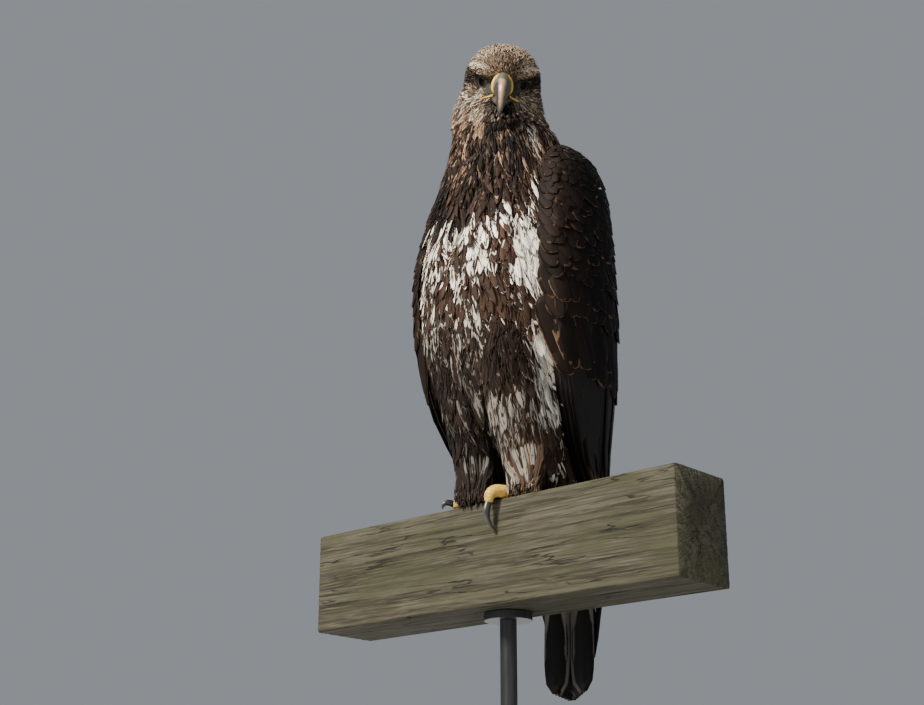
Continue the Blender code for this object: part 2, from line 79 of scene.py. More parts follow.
def to_head(points):
    """World to head: the offset from the head's origin, read along the head's three axes."""
    return (points - HEAD_AT) @ HEAD_TURN


def from_head(points):
    """Head to world: the three coordinates along the head's axes, added to its origin."""
    return points @ HEAD_TURN.T + HEAD_AT


print("timber top:", round(PERCH, 4), "head at:", HEAD_AT.round(4))

# %% [markdown]
# Feathers need a surface to lie on that can be asked, anywhere, for a point and for the two directions along
# it. A chart does that: a grid of points, read between its points with a weighted mean of the nearest four.
# Each chart is made by probing the solids with rays, from outside towards an axis, then smoothing away the
# solids' facets and moving inwards by the depth of the coat.

# %% A chart of a surface
def unit(v):
    return v / np.maximum(np.linalg.norm(v, axis=-1, keepdims=True), 1e-12)


def round_angles(count):
    """Angles of so many places evenly round a circle."""
    return np.arange(count) * 2 * np.pi / count


def compass(angle):
    """Level directions at angles from the front, turning to the bird's left: (sin, -cos, 0)."""
    return np.stack([np.sin(angle), -np.cos(angle), 0 * angle], -1)


def ramp(low, high, x):
    """0 below low, 1 above high, and an S curve between."""
    t = np.clip((x - low) / (high - low), 0, 1)
    return t * t * (3 - 2 * t)


def fine_line(table, count):
    """A polyline through the rows of a table, told by more points."""
    table = np.asarray(table, float)
    at = np.linspace(0, len(table) - 1, count)
    return np.stack([np.interp(at, np.arange(len(table)), column) for column in table.T], 1)


def gap_to(line, points):
    """How far each point is from the nearest point of a line."""
    return np.linalg.norm(points[:, None] - line[None], axis=2).min(1)


class Chart:
    """A surface as a grid of points. Places on it are (u, v): u down the lie of the coat, and v across it.

    The point at (u, v) is the mean of the four grid points around it, weighted by nearness, and past a rim
    it goes on straight. The directions are the differences of points a little either side, and the normal
    is their cross product, turned outwards.
    """

    def __init__(self, points, closed, centre):
        self.points, self.closed, self.sign = points, closed, 1.0
        u, v = np.meshgrid(np.linspace(0.2, 0.8, 9), np.linspace(0.2, 0.8, 9))
        place, _, _, normal = self.frame(u.ravel(), v.ravel())
        self.sign = np.sign(((place - centre) * normal).sum())

    def at(self, u, v):
        rows, columns = self.points.shape[:2]
        x = u * (rows - 1)
        i = np.clip(np.floor(x).astype(int), 0, rows - 2)
        y = (v % 1) * columns if self.closed else v * (columns - 1)
        j = np.clip(np.floor(y).astype(int), 0, columns - 1 if self.closed else columns - 2)
        right = (j + 1) % columns
        a, b = (x - i)[..., None], (y - j)[..., None]
        top = self.points[i, j] * (1 - b) + self.points[i, right] * b
        low = self.points[i + 1, j] * (1 - b) + self.points[i + 1, right] * b
        return top * (1 - a) + low * a

    def frame(self, u, v, step=0.006):
        """The point, the two directions as metres per unit of u and v, and the outward normal."""
        down = (self.at(u + step, v) - self.at(u - step, v)) / (2 * step)
        across = (self.at(u, v + step) - self.at(u, v - step)) / (2 * step)
        return self.at(u, v), down, across, unit(np.cross(down, across)) * self.sign


def solid_of(names):
    """One tree of the triangles of several solids, to be asked where a ray first meets them."""
    corners, faces, base = [], [], 0
    for name in names:
        mesh = nodes[name].data
        place = np.empty(len(mesh.vertices) * 3)
        mesh.vertices.foreach_get("co", place)
        mesh.calc_loop_triangles()
        loop = np.empty(len(mesh.loop_triangles) * 3, int)
        mesh.loop_triangles.foreach_get("vertices", loop)
        corners += place.reshape(-1, 3).tolist()
        faces += (loop.reshape(-1, 3) + base).tolist()
        base += len(mesh.vertices)
    return BVHTree.FromPolygons(corners, faces)


def probe(names, start, towards, reach):
    """How far out from each axis point the solids lie: a ray comes in from reach, and nan is a miss."""
    tree = solid_of(names)
    distance = []
    for origin, way in zip(start.reshape(-1, 3), towards.reshape(-1, 3)):
        hit = tree.ray_cast(Vector(origin + way * reach), Vector(-way), reach)
        distance.append(reach - hit[3] if hit[3] is not None else np.nan)
    return np.array(distance).reshape(start.shape[:2])


def filled(grid):
    """Misses take the mean of their neighbours, over and over until none is left."""
    grid = grid.copy()
    for _ in range(400):
        gap = np.isnan(grid)
        if not gap.any():
            break
        near = np.stack([np.roll(grid, s, a) for a in (0, 1) for s in (1, -1)])
        with np.errstate(all="ignore"):
            grid[gap] = np.nanmean(np.where(gap, near, np.nan), 0)[gap]
    return grid


def eased(grid, rounds, closed):
    """Each value becomes the mean of itself, counted twice, and its four neighbours, some rounds over."""
    for _ in range(rounds):
        padded = np.pad(grid, ((1, 1), (0, 0)), mode="edge")
        wide = np.pad(grid, ((0, 0), (1, 1)), mode="wrap" if closed else "edge")
        grid = (2 * grid + padded[:-2] + padded[2:] + wide[:, :-2] + wide[:, 2:]) / 6
    return grid


def felt(distance, start, way, rounds, closed, depth, least=0.001):
    """A chart from probed distances: gaps filled, facets eased, and drawn in by the coat's depth."""
    radius = np.maximum(eased(filled(distance), rounds, closed) - depth, least)
    return Chart(start + way * radius[..., None], closed, start.mean((0, 1)))


def round_chart(names, heights, columns, axis, depth, rounds, reach=0.5):
    """A chart round an upright axis. Height falls with u, and v turns once from the front."""
    start = np.zeros((len(heights), columns, 3)) + axis(heights)[:, None]
    way = np.broadcast_to(compass(round_angles(columns)), start.shape)
    return felt(probe(names, start, way, reach), start, way, rounds, True, depth[:, None])


def body_axis(height):
    """The axis inside neck, trunk and rump: far back at the tail's root, nearly central at the breast."""
    y = np.interp(height - PERCH, [-0.02, 0.0, 0.07, 0.14, 0.24, 0.44], [0.1, 0.09, 0.055, 0.03, 0.01, 0.004])
    return np.stack([0 * height, y, height], 1)


def body_place(points):
    """Height over the timber, and the angle round the body's axis in degrees: 0 in front, 90 at the left."""
    axis = body_axis(points[:, 2])
    angle = np.degrees(np.arctan2(points[:, 0] - axis[:, 0], axis[:, 1] - points[:, 1]))
    return points[:, 2] - PERCH, angle


# the depth of each crease between masses of feathers, and its line as (angle, height over the timber)
CREASES = (
    (0.0065, [(30, 0.4), (20, 0.372), (16, 0.347), (9, 0.324), (3, 0.293), (-6, 0.268), (-11, 0.245)]),
    (0.0055, [(20, 0.41), (8, 0.404), (-4, 0.398), (-24, 0.378)]),
    (0.004, [(46, 0.15), (38, 0.135), (30, 0.126)]),
)


def crease_relief(points):
    """Creases between masses of feathers, each with a soft roll of feathers on its outer side.

    A valley's depth falls off as exp(-(distance / 5.5 mm) squared), and it runs out at both ends. The roll is
    the same curve, 12.5 mm to one side and 0.45 as high. Angles count as arcs at 9 cm from the axis.
    """
    h, angle = body_place(points)
    metres = math.radians(1) * 0.09
    move = np.zeros(len(points))
    for depth, line in CREASES:
        path = fine_line(line, 60)
        across = (angle[:, None] - path[:, 0]) * metres
        gap = np.hypot(across, h[:, None] - path[:, 1])
        nearest, close = gap.argmin(1), gap.min(1)
        ends = np.sin(np.clip(nearest / 59, 0.08, 0.92) * np.pi) ** 0.5
        side = np.sign(across[np.arange(len(h)), nearest] + 1e-9)
        move -= depth * ends * np.exp(-((close / 0.0055) ** 2))
        move += 0.45 * depth * ends * np.exp(-(((close - 0.0125) / 0.007) ** 2)) * (side < 0)
    return move


BODY_TOP, BODY_FOOT = PERCH + 0.492, PERCH - 0.015
body_heights = np.linspace(BODY_TOP, BODY_FOOT, 200)
body_chart = round_chart(
    ["trunk", "neck", "tail", "head"], body_heights, 240, body_axis,
    np.interp(body_heights - PERCH, [0.0, 0.36, 0.47], [0.0065, 0.0055, 0.0035]), 4)
flat = body_chart.points.reshape(-1, 3)
spoke = unit((flat - body_axis(flat[:, 2])) * (1, 1, 0))
body_chart.points = (flat + spoke * crease_relief(flat)[:, None]).reshape(body_chart.points.shape)
print("body chart:", body_chart.points.shape, "from", BODY_TOP, "down to", BODY_FOOT)

# %% [markdown]
# The wings fold flat against the body, so one chart does for each: u runs down from the wrist to the
# primary tips, and v runs back from the wing's leading edge, which lies over the breast, to its hind edge
# on the back. The two edges are felt for with rays, height by height, and the chart is probed between them.

# %% Wing charts
WING_TOP, WING_FOOT = PERCH + 0.417, PERCH - 0.16


def wing_edges(side, height, axis):
    """At each height, the first and last angle from the front at which a ray from outside meets the wing."""
    angle = np.radians(np.arange(40, 182, 1.5)) * side
    start = np.zeros((len(height), len(angle), 3)) + axis(height)[:, None]
    way = np.broadcast_to(compass(angle), start.shape)
    met = ~np.isnan(probe(["wing_" + SIDES[side], "flight_" + SIDES[side]], start, way, 0.3))
    edges = [[pick(np.abs(angle[row])) if row.any() else np.nan for row in met] for pick in (np.min, np.max)]
    know = met.any(1)
    order = slice(None, None, 1 if height[0] < height[-1] else -1)
    return [np.interp(height, height[know][order], np.array(edge)[know][order]) for edge in edges]


def smooth_line(values, rounds):
    """The mean of each value and its neighbours, some rounds over, with the ends held."""
    for _ in range(rounds):
        padded = np.pad(values, 1, mode="edge")
        values = (padded[:-2] + 2 * values + padded[2:]) / 4
    return values


def wing_axis(height):
    """An axis well inside the body, which the wing's inner face never crosses."""
    y = np.interp(height - PERCH, [-0.17, 0.0, 0.1, 0.2, 0.42], [0.1, 0.085, 0.05, 0.02, 0.012])
    return np.stack([0 * height, y, height], 1)


def wing_chart(side):
    """The outer face of one folded wing as a grid from leading to hind edge and from wrist to tips."""
    height = np.linspace(WING_TOP, WING_FOOT, 150)
    first, last = (smooth_line(edge, 4) for edge in wing_edges(side, height, wing_axis))
    share = np.linspace(0.02, 0.98, 60)
    way = compass((first[:, None] * (1 - share) + last[:, None] * share) * side)
    start = np.zeros(way.shape) + wing_axis(height)[:, None]
    depth = np.interp(height - PERCH, [-0.16, -0.05, 0.12, 0.3, 0.42], [0.001, 0.0015, 0.0025, 0.004, 0.005])
    distance = probe(["wing_" + SIDES[side], "flight_" + SIDES[side]], start, way, 0.3)
    print("wing", SIDES[side], "edges:", np.degrees(first[::25]).round(), np.degrees(last[::25]).round())
    return felt(distance, start, way, 3, False, depth[:, None], 0.004)


wing_charts = {side: wing_chart(side) for side in SIDES}

# %% [markdown]
# A fierce look comes from the bones round the eye. A ridge of bone juts over it like an eyebrow, the eyeball
# stands in a shallow socket behind a thin rim, and the lores in front are hollowed so that the bird can see
# forwards. The same carving is done to the head's chart and to the skin, so that both fit the eyeballs.

# %% Brow, socket and lores
EYE_RADIUS = 0.0108
OPENING = 45.0
GAZE = {side: unit(np.array([side * 0.73, -0.68, -0.07])) for side in SIDES}
HEAD_MIDDLE = np.array([0, 0.018, -0.004])
BROW_LINE = fine_line([(0.0165, -0.0195, 0.004), (0.0225, -0.0115, 0.0068), (0.028, -0.003, 0.0088),
                       (0.0325, 0.006, 0.0096), (0.0365, 0.014, 0.0088)], 60)


def eye_offset(place, side):
    """The offset of places in the head's frame from the middle of one eyeball."""
    return place - EYE_IN_HEAD * (side, 1, 1)


def eye_axes(side):
    """The two directions square to an eye's gaze: upwards, and forwards to the bill."""
    upward = unit(UP - GAZE[side][2] * GAZE[side])
    return upward, np.cross(upward, GAZE[side]) * -side


def lid_angle(around):
    """How far from the gaze the rim of the lids lies.

    It is a circle cut off above by a line that slopes down towards the bill: the sine of the angle is at most
    cut / (cos + slope * sin) of the place round the eye. The two meet in a soft corner.
    """
    turn = np.radians(around)
    line = np.cos(turn) + 0.38 * np.sin(turn)
    cut = np.degrees(np.arcsin(np.clip(0.4 / np.maximum(line, 0.41), 0, 1)))
    cut = np.where(line > 0.41, cut, 90)
    return -3.0 * np.log(np.exp(-cut / 3.0) + np.exp(-OPENING / 3.0))


def carved(points):
    """Points of the head moved in or out from its middle: lores in, brow out, and skin behind the eye's rim.

    The hollow of the lores is exp(-(distance squared)), and the brow is an S curve of the distance from its
    line. Along the gaze no point passes the eyeball inside the rim, or a slope that falls back outside it.
    """
    place = to_head(points)
    near = np.linalg.norm(place - np.array([0, -0.005, 0.0]), axis=1) < 0.055
    spot = place[near]
    outward = unit(spot - HEAD_MIDDLE)
    for side in SIDES:
        mirror = spot * (side, 1, 1)
        hollow = np.exp(-(((mirror[:, 1] + 0.013) / 0.0085) ** 2) - ((mirror[:, 2] + 0.0005) / 0.0085) ** 2)
        hollow = hollow * ramp(0.004, 0.012, mirror[:, 0])
        brow = ramp(0.007, 0, gap_to(BROW_LINE, mirror))
        spot = spot + outward * (0.003 * brow - 0.0042 * hollow)[:, None]
        upward, forward = eye_axes(side)
        arm = eye_offset(spot, side)
        around = np.degrees(np.arctan2(arm @ forward, arm @ upward))
        along = arm @ GAZE[side]
        across = np.linalg.norm(arm - along[:, None] * GAZE[side], axis=1)
        rim = np.radians(lid_angle(around))
        above = np.exp(-((around / 60) ** 2))
        edge, level = EYE_RADIUS * np.sin(rim), EYE_RADIUS * np.cos(rim)
        ball = np.sqrt(np.clip((EYE_RADIUS - 0.0008) ** 2 - across**2, 0, None))
        limit = np.where(across < edge, ball, level - 0.0002 + (0.55 + 0.4 * above) * (across - edge))
        spot = spot - GAZE[side] * np.clip(along - limit, 0, None)[:, None]
    moved = points.copy()
    moved[near] = from_head(spot)
    return moved


print("gaze of the left eye in the head's frame:", GAZE[1].round(3))

# %% [markdown]
# The head's chart is a globe whose pole lies on the bill: u runs back from the bill over the face to the
# nape, and v goes once round it, starting over the crown. Feathers on a bird's head all lie away from the
# bill, so here too u is the lie of the coat.

# %% Head chart
FACE_FROM, FACE_TO = math.radians(8), math.radians(158)


def head_chart_at(depth, rows=170, columns=220):
    """Distances from the middle of the head, along rays at an angle a from the bill and b round it.

    Rays come from near and from far. Where the two disagree, the far one met the breast on its way, so the
    head has no outside there: that part of the chart is marked as covered by the neck.
    """
    a = np.linspace(FACE_FROM, FACE_TO, rows)[:, None]
    b = round_angles(columns)[None]
    way = np.stack([np.sin(a) * np.sin(b), -np.cos(a) + 0 * b, np.sin(a) * np.cos(b)], 2) @ HEAD_TURN.T
    start = np.zeros(way.shape) + from_head(HEAD_MIDDLE)
    near = probe(["head", "neck"], start, way, 0.085)
    far = probe(["head", "neck", "trunk"], start, way, 0.4)
    chart = felt(near, start, way, 2, True, depth, 0.003)
    points = carved(chart.points.reshape(-1, 3)).reshape(chart.points.shape)
    return Chart(points, True, start.mean((0, 1))), np.abs(near - far) < 0.001


head_chart, head_outside = head_chart_at(0.0012)


def on_outside(u, v):
    """Whether places on the head's chart belong to its outside."""
    rows, columns = head_outside.shape
    row = np.clip((u * (rows - 1)).astype(int), 0, rows - 1)
    return head_outside[row, (v * columns).astype(int) % columns]


def on_head(place, proud):
    """Places in the head's frame, moved along rays from its middle to stand a little proud of its chart."""
    way = place - HEAD_MIDDLE
    far = np.linalg.norm(way, axis=1)
    u = (np.arccos(-way[:, 1] / far) - FACE_FROM) / (FACE_TO - FACE_FROM)
    surface = to_head(head_chart.at(u, np.arctan2(way[:, 0], way[:, 2]) / (2 * np.pi)))
    return surface + unit(surface - HEAD_MIDDLE) * proud


print("head chart:", head_chart.points.shape)

# %% [markdown]
# A contour feather is a thin vane bowed over its shaft, narrow at the root and rounded or drawn out to a
# point at the tip. Each one here is a closed mesh: five points over the top of the vane and one under the
# shaft, at ten stations from root to tip. The small feathers of the head and the fine strands make do with
# three points over the top and fewer stations. Thousands are made at once as whole arrays. Their edges are
# a little ragged.

# %% Feather shapes
STATIONS = np.array([0, 0.1, 0.24, 0.4, 0.55, 0.68, 0.79, 0.88, 0.95, 1.0])
FEW_STATIONS = np.linspace(0, 1, 6)
SHAPES = {
    "round": [0.25, 0.55, 0.82, 0.96, 1.0, 0.98, 0.9, 0.74, 0.5, 0.14],
    "leaf": [0.3, 0.62, 0.88, 1.0, 0.97, 0.87, 0.71, 0.5, 0.28, 0.04],
    "hackle": [0.4, 0.75, 0.95, 1.0, 0.88, 0.7, 0.5, 0.32, 0.17, 0.03],
    "plume": [0.3, 0.6, 0.8, 0.95, 1.0, 0.93, 0.78, 0.58, 0.33, 0.06],
    "quill": [0.45, 0.82, 0.97, 1.0, 1.0, 0.99, 0.94, 0.82, 0.6, 0.2],
}
ACROSS = np.array([-1, -0.55, 0, 0.55, 1, 0.0])
ACROSS_THIN = np.array([-1, 0, 1, 0.0])
FEATHER_THICKNESS = 0.0003
PATCH = 0.003


def dot(a, b):
    return (a * b).sum(-1, keepdims=True)


def walk(chart, roots, length, heading, shares=STATIONS, skew=0.0):
    """Follow the coat from each root for each length.

    At every station the heading gives a direction along the surface, turned by the feather's own skew. The
    step in (u, v) that goes that way solves the two-by-two system of the chart's own two directions.
    """
    points, normals = [], []
    u, v = roots.T
    skew = np.broadcast_to(skew, np.shape(u))[:, None]
    for share in shares:
        point, down, across, normal = chart.frame(u, v)
        points.append(point)
        normals.append(normal)
        way = heading(point, unit(down), unit(across), normal)
        way = unit(way - dot(way, normal) * normal)
        way = way * np.cos(skew) + np.cross(normal, way) * np.sin(skew)
        step = (shares[min(len(points), len(shares) - 1)] - share) * length
        a, b, c = dot(down, down)[:, 0], dot(down, across)[:, 0], dot(across, across)[:, 0]
        p, q = dot(down, way)[:, 0], dot(across, way)[:, 0]
        scale = np.maximum(a * c - b * b, 1e-12)
        u = u + step * (c * p - b * q) / scale
        v = v + step * (a * q - b * p) / scale
    return np.stack(points, 1), np.stack(normals, 1)


def look_of(count, seed, lift=0.1, bow=0.3, base=0.0, ragged=0.03, roll=0.08, sweep=0.1, section=ACROSS):
    """How a group of feathers sits, with a little chance in each."""
    rng = np.random.default_rng(seed)
    return {
        "seed": seed + 1,
        "lift": lift * (1 + rng.normal(0, 0.18, count)),
        "bow": bow * (1 + rng.normal(0, 0.2, count)),
        "base": base + rng.normal(0, 0.00025, count),
        "roll": rng.normal(0, roll, count),
        "sweep": rng.normal(0, sweep, count),
        "ragged": ragged,
        "section": section,
    }


def vanes(path, normals, length, width, shape, look):
    """Closed feathers round their paths: arrays of (feather, station, point of the section).

    Height over the surface is base + lift * length * share. A section runs across from -1 to 1 and falls away
    from the shaft by bow times the square of that. The under point lies below the shaft. Each side of the
    vane is narrowed or widened a little at random, more towards the tip, which makes it ragged.
    """
    count, stations = path.shape[:2]
    shares = STATIONS if stations == len(STATIONS) else np.linspace(0, 1, stations)
    rng = np.random.default_rng(look["seed"])
    rise = look["base"][:, None] + (look["lift"] * length)[:, None] * shares
    middle = path + normals * rise[..., None]
    ahead = unit(np.gradient(middle, axis=1))
    side = unit(np.cross(normals, ahead))
    roll = look["roll"][:, None, None]
    over = unit(np.cross(ahead, side))
    side, over = side * np.cos(roll) + over * np.sin(roll), over * np.cos(roll) - side * np.sin(roll)
    outline = np.interp(shares, STATIONS, SHAPES[shape]) if isinstance(shape, str) else shape
    half = width[:, None] / 2 * outline
    ragged = 1 + rng.normal(0, 1, (count, stations, 2)) * look["ragged"] * (0.25 + shares[:, None])
    section = look["section"]
    x = np.broadcast_to(section, (count, stations, len(section))).copy()
    x[..., 0] *= ragged[..., 0]
    x[..., -2] *= ragged[..., 1]
    fall = -look["bow"][:, None, None] * x**2 * half[..., None]
    fall[..., -1] -= np.minimum(FEATHER_THICKNESS, half * 0.4)
    bend = look["sweep"][:, None] * half * shares**2
    points = middle[:, :, None] + side[:, :, None] * (x * half[..., None] + bend[..., None])[..., None]
    return points + over[:, :, None] * fall[..., None]


def on_unwrap(roots):
    """The roots' places on the unwrap of the skin: v across it, and u down from its top."""
    return roots[:, ::-1] * (1, -1) + (0, 1)


def tract(points, place, marking):
    """A group of feathers: their points, their roots' places on the unwrap, their colours and pattern."""
    return {"points": points, "place": place, "colours": marking[0], "pattern": marking[1]}


def laid(chart, roots, length, width, shape, heading, marking, look, shares=STATIONS, skew=0.0, tone_at=7):
    """Feathers from their roots on a chart. Each is coloured by its place at one of its stations."""
    path, normals = walk(chart, roots, length, heading, shares, skew)
    tones = marking(path[:, tone_at])
    return tract(vanes(path, normals, length, width, shape, look), on_unwrap(roots), tones)


def smooth_mesh(name, points, faces, finish, maps, values):
    """A smooth mesh of points and arrays of faces. Maps give a pair for each corner of the faces, and values
    give numbers, vectors or colours for each point."""
    corners = np.concatenate([part.ravel() for part in faces])
    sizes = np.concatenate([np.full(len(part), part.shape[1]) for part in faces])
    mesh = bpy.data.meshes.new(name)
    mesh.vertices.add(len(points))
    mesh.vertices.foreach_set("co", points.ravel())
    mesh.loops.add(len(corners))
    mesh.loops.foreach_set("vertex_index", corners)
    mesh.polygons.add(len(sizes))
    mesh.polygons.foreach_set("loop_start", np.cumsum(sizes) - sizes)
    mesh.update(calc_edges=True)
    mesh.polygons.foreach_set("use_smooth", np.ones(len(sizes), bool))
    for label, pairs in maps.items():
        mesh.uv_layers.new(name=label).uv.foreach_set("vector", pairs.ravel().astype(np.float32))
    kinds = {1: ("FLOAT", "value"), 3: ("FLOAT_VECTOR", "vector"), 4: ("FLOAT_COLOR", "color")}
    for word, data in values.items():
        kind, key = kinds[data.size // len(points)]
        mesh.attributes.new(word, kind, "POINT").data.foreach_set(key, data.ravel())
    mesh.materials.append(finish)
    return mesh


def shown(name, mesh, slot, *solids):
    """The mesh as a piece of the model: riding its one body and in place of some solids, with its slot
    printed.
    """
    piece = bpy.data.objects.new(name, mesh)
    bpy.context.scene.collection.objects.link(piece)
    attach(piece, "root")
    if solids:
        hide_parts(*solids)
    print(name, "points:", len(mesh.vertices), "slot:", slot, "in place of:", solids)
    return piece


def volume_sign(points, faces):
    """Above 0 where the faces look outwards: the sum of the volumes of tetrahedra from the origin to them."""
    fans = [part[:, [0, k, k + 1]] for part in faces for k in range(1, part.shape[1] - 1)]
    return sum((points[f[:, 0]] * np.cross(points[f[:, 1]], points[f[:, 2]])).sum() for f in fans)


def coat(name, tracts, finish, slot, *solids):
    """Join tracts into one mesh. Sections are joined by quads in rings, and each end is closed by a fan."""
    points, faces, vane, bake, base = [], [], [], [], 0
    values = {"ground": [], "mark": [], "fringe": [], "pattern": []}
    for group in tracts:
        count, stations, ring = group["points"].shape[:3]
        index = np.arange(count * stations * ring).reshape(count, stations, ring) + base
        base += index.size
        here, ahead = index[:, :-1], index[:, 1:]
        faces.append(np.stack([here, np.roll(here, -1, 2), np.roll(ahead, -1, 2), ahead], -1).reshape(-1, 4))
        quarters = ([3, 2, 1, 0],) if ring == 4 else ([5, 2, 1, 0], [5, 4, 3, 2])
        for end, way in ((index[:, 0], 1), (index[:, -1], -1)):
            faces.append(np.stack([end[:, four[::way]] for four in quarters], 1).reshape(-1, 4))
        points.append(group["points"].reshape(-1, 3))
        shares = STATIONS if stations == len(STATIONS) else np.linspace(0, 1, stations)
        across = np.broadcast_to((ACROSS_THIN if ring == 4 else ACROSS) * 0.5 + 0.5, (count, stations, ring))
        along = np.broadcast_to(shares[:, None], (count, stations, ring))
        vane.append(np.stack([across, along], -1).reshape(-1, 2))
        spot = group["place"][:, None, None] + np.stack([(across - 0.5) * PATCH, (0.5 - along) * PATCH], -1)
        bake.append(spot.reshape(-1, 2))
        for word, rows in values.items():
            each = group["pattern"] if word == "pattern" else np.insert(group["colours"][word], 3, 1.0, 1)
            rows.append(np.repeat(each, stations * ring, 0))
    points, faces = np.concatenate(points), np.concatenate(faces)
    if volume_sign(points, [faces]) < 0:
        faces = faces[:, ::-1]
    corners = faces.ravel()
    maps = {"vane": np.concatenate(vane)[corners], "OFBake": np.concatenate(bake)[corners]}
    values = {word: np.concatenate(rows) for word, rows in values.items()}
    print(name, "feathers:", sum(len(group["points"]) for group in tracts), "triangles:", len(faces) * 2)
    return shown(name, smooth_mesh(name, points, [faces], finish, maps, values), slot, *solids)


print("feather shapes:", sorted(SHAPES))

# %% [markdown]
# Roots sit in rows across the lie of the coat, each row set off by half a gap from the one above it, like
# roof tiles. The gaps follow the local size of feather, so rows are laid one after another down the chart.

# %% Rows of roots
def rows_of_roots(chart, top, foot, along, across, seed, jitter=0.22):
    """Rows from top to foot. The next row is along / (metres per u) further, and a row's roots are equally
    far apart by arc length, as many as its length over the gap. Both gaps are functions of u."""
    rng = np.random.default_rng(seed)
    u, rows, odd = top, [], 0.0
    turns = np.linspace(0, 1, 181)
    while u < foot:
        line, down, _, _ = chart.frame(np.full(181, u), turns)
        lengths = np.linalg.norm(np.diff(line, axis=0), axis=1)
        reach = np.concatenate([[0], np.cumsum(lengths)])
        count = max(int(round(reach[-1] / across(u))), 3)
        places = (np.arange(count) + odd) / count * reach[-1]
        places = places + rng.normal(0, jitter, count) * across(u)
        v = np.interp(np.mod(places, reach[-1]), reach, turns)
        metres = np.median(np.linalg.norm(down, axis=1))
        rows.append(np.stack([u + rng.normal(0, jitter, count) * along(u) / metres, v], 1))
        u = u + along(u) / metres
        odd = 0.5 - odd
    return np.concatenate(rows)


trial = rows_of_roots(body_chart, 0.0, 1.0, lambda u: 0.012, lambda u: 0.007, 1)
print("roots 12 mm apart down the body and 7 mm across:", len(trial))

# %% [markdown]
# The plumage of a bald eagle in its second or third year is dark brown, with white bases that show more or
# less by chance. The bib over the breast is solid brown with tawny edges. Under it runs a white band, then
# white feathers each with a brown drop, and a browner belly. The same rules colour the skin and the coat.

# %% Colours and markings
WHITE, CREAM, BUFF = np.array([0.84, 0.8, 0.72]), np.array([0.62, 0.53, 0.4]), np.array([0.44, 0.31, 0.2])
TAN, WARM = np.array([0.25, 0.15, 0.088]), np.array([0.062, 0.033, 0.02])
DARK, BLACKISH = np.array([0.017, 0.0097, 0.0062]), np.array([0.0042, 0.0034, 0.0033])
GREY = np.array([0.33, 0.31, 0.27])


def mixed(a, b, share):
    return a * (1 - share[:, None]) + b * share[:, None]


def blotch(x, y, at, size, edge=1.4):
    """A soft round patch: edge at its middle, falling evenly to 0 at its two half sizes, and held under 1."""
    return np.clip(edge - np.hypot((x - at[0]) / size[0], (y - at[1]) / size[1]) * edge, 0, 1)


def drift(points, seed, wide, tall, waves=7):
    """Slow chance over the body from -1 to 1: a sum of sine waves in random directions, longest down it."""
    rng = np.random.default_rng(seed)
    way = rng.normal(0, 1, (waves, 3)) * (1 / wide, 1 / wide, 1 / tall)
    phase = rng.uniform(0, 2 * np.pi, waves)
    return np.clip(np.sin(points @ way.T * 1.6 + phase).sum(1) / np.sqrt(waves), -1, 1)


def marking_of(ground, mark, fringe, drop, rim, luck):
    """Three colours for each feather, and the pattern: its drop's size, fringe's width and own luck."""
    return {"ground": ground, "mark": mark, "fringe": fringe}, np.stack([drop, rim + 0 * drop, luck], 1)


def bib_border(angle):
    """The height over the timber at which the brown bib ends, at angles round the body."""
    return np.interp(angle, [-80, -45, -5, 18, 40, 54, 62, 75],
                     [0.34, 0.32, 0.297, 0.312, 0.322, 0.322, 0.362, 0.38])


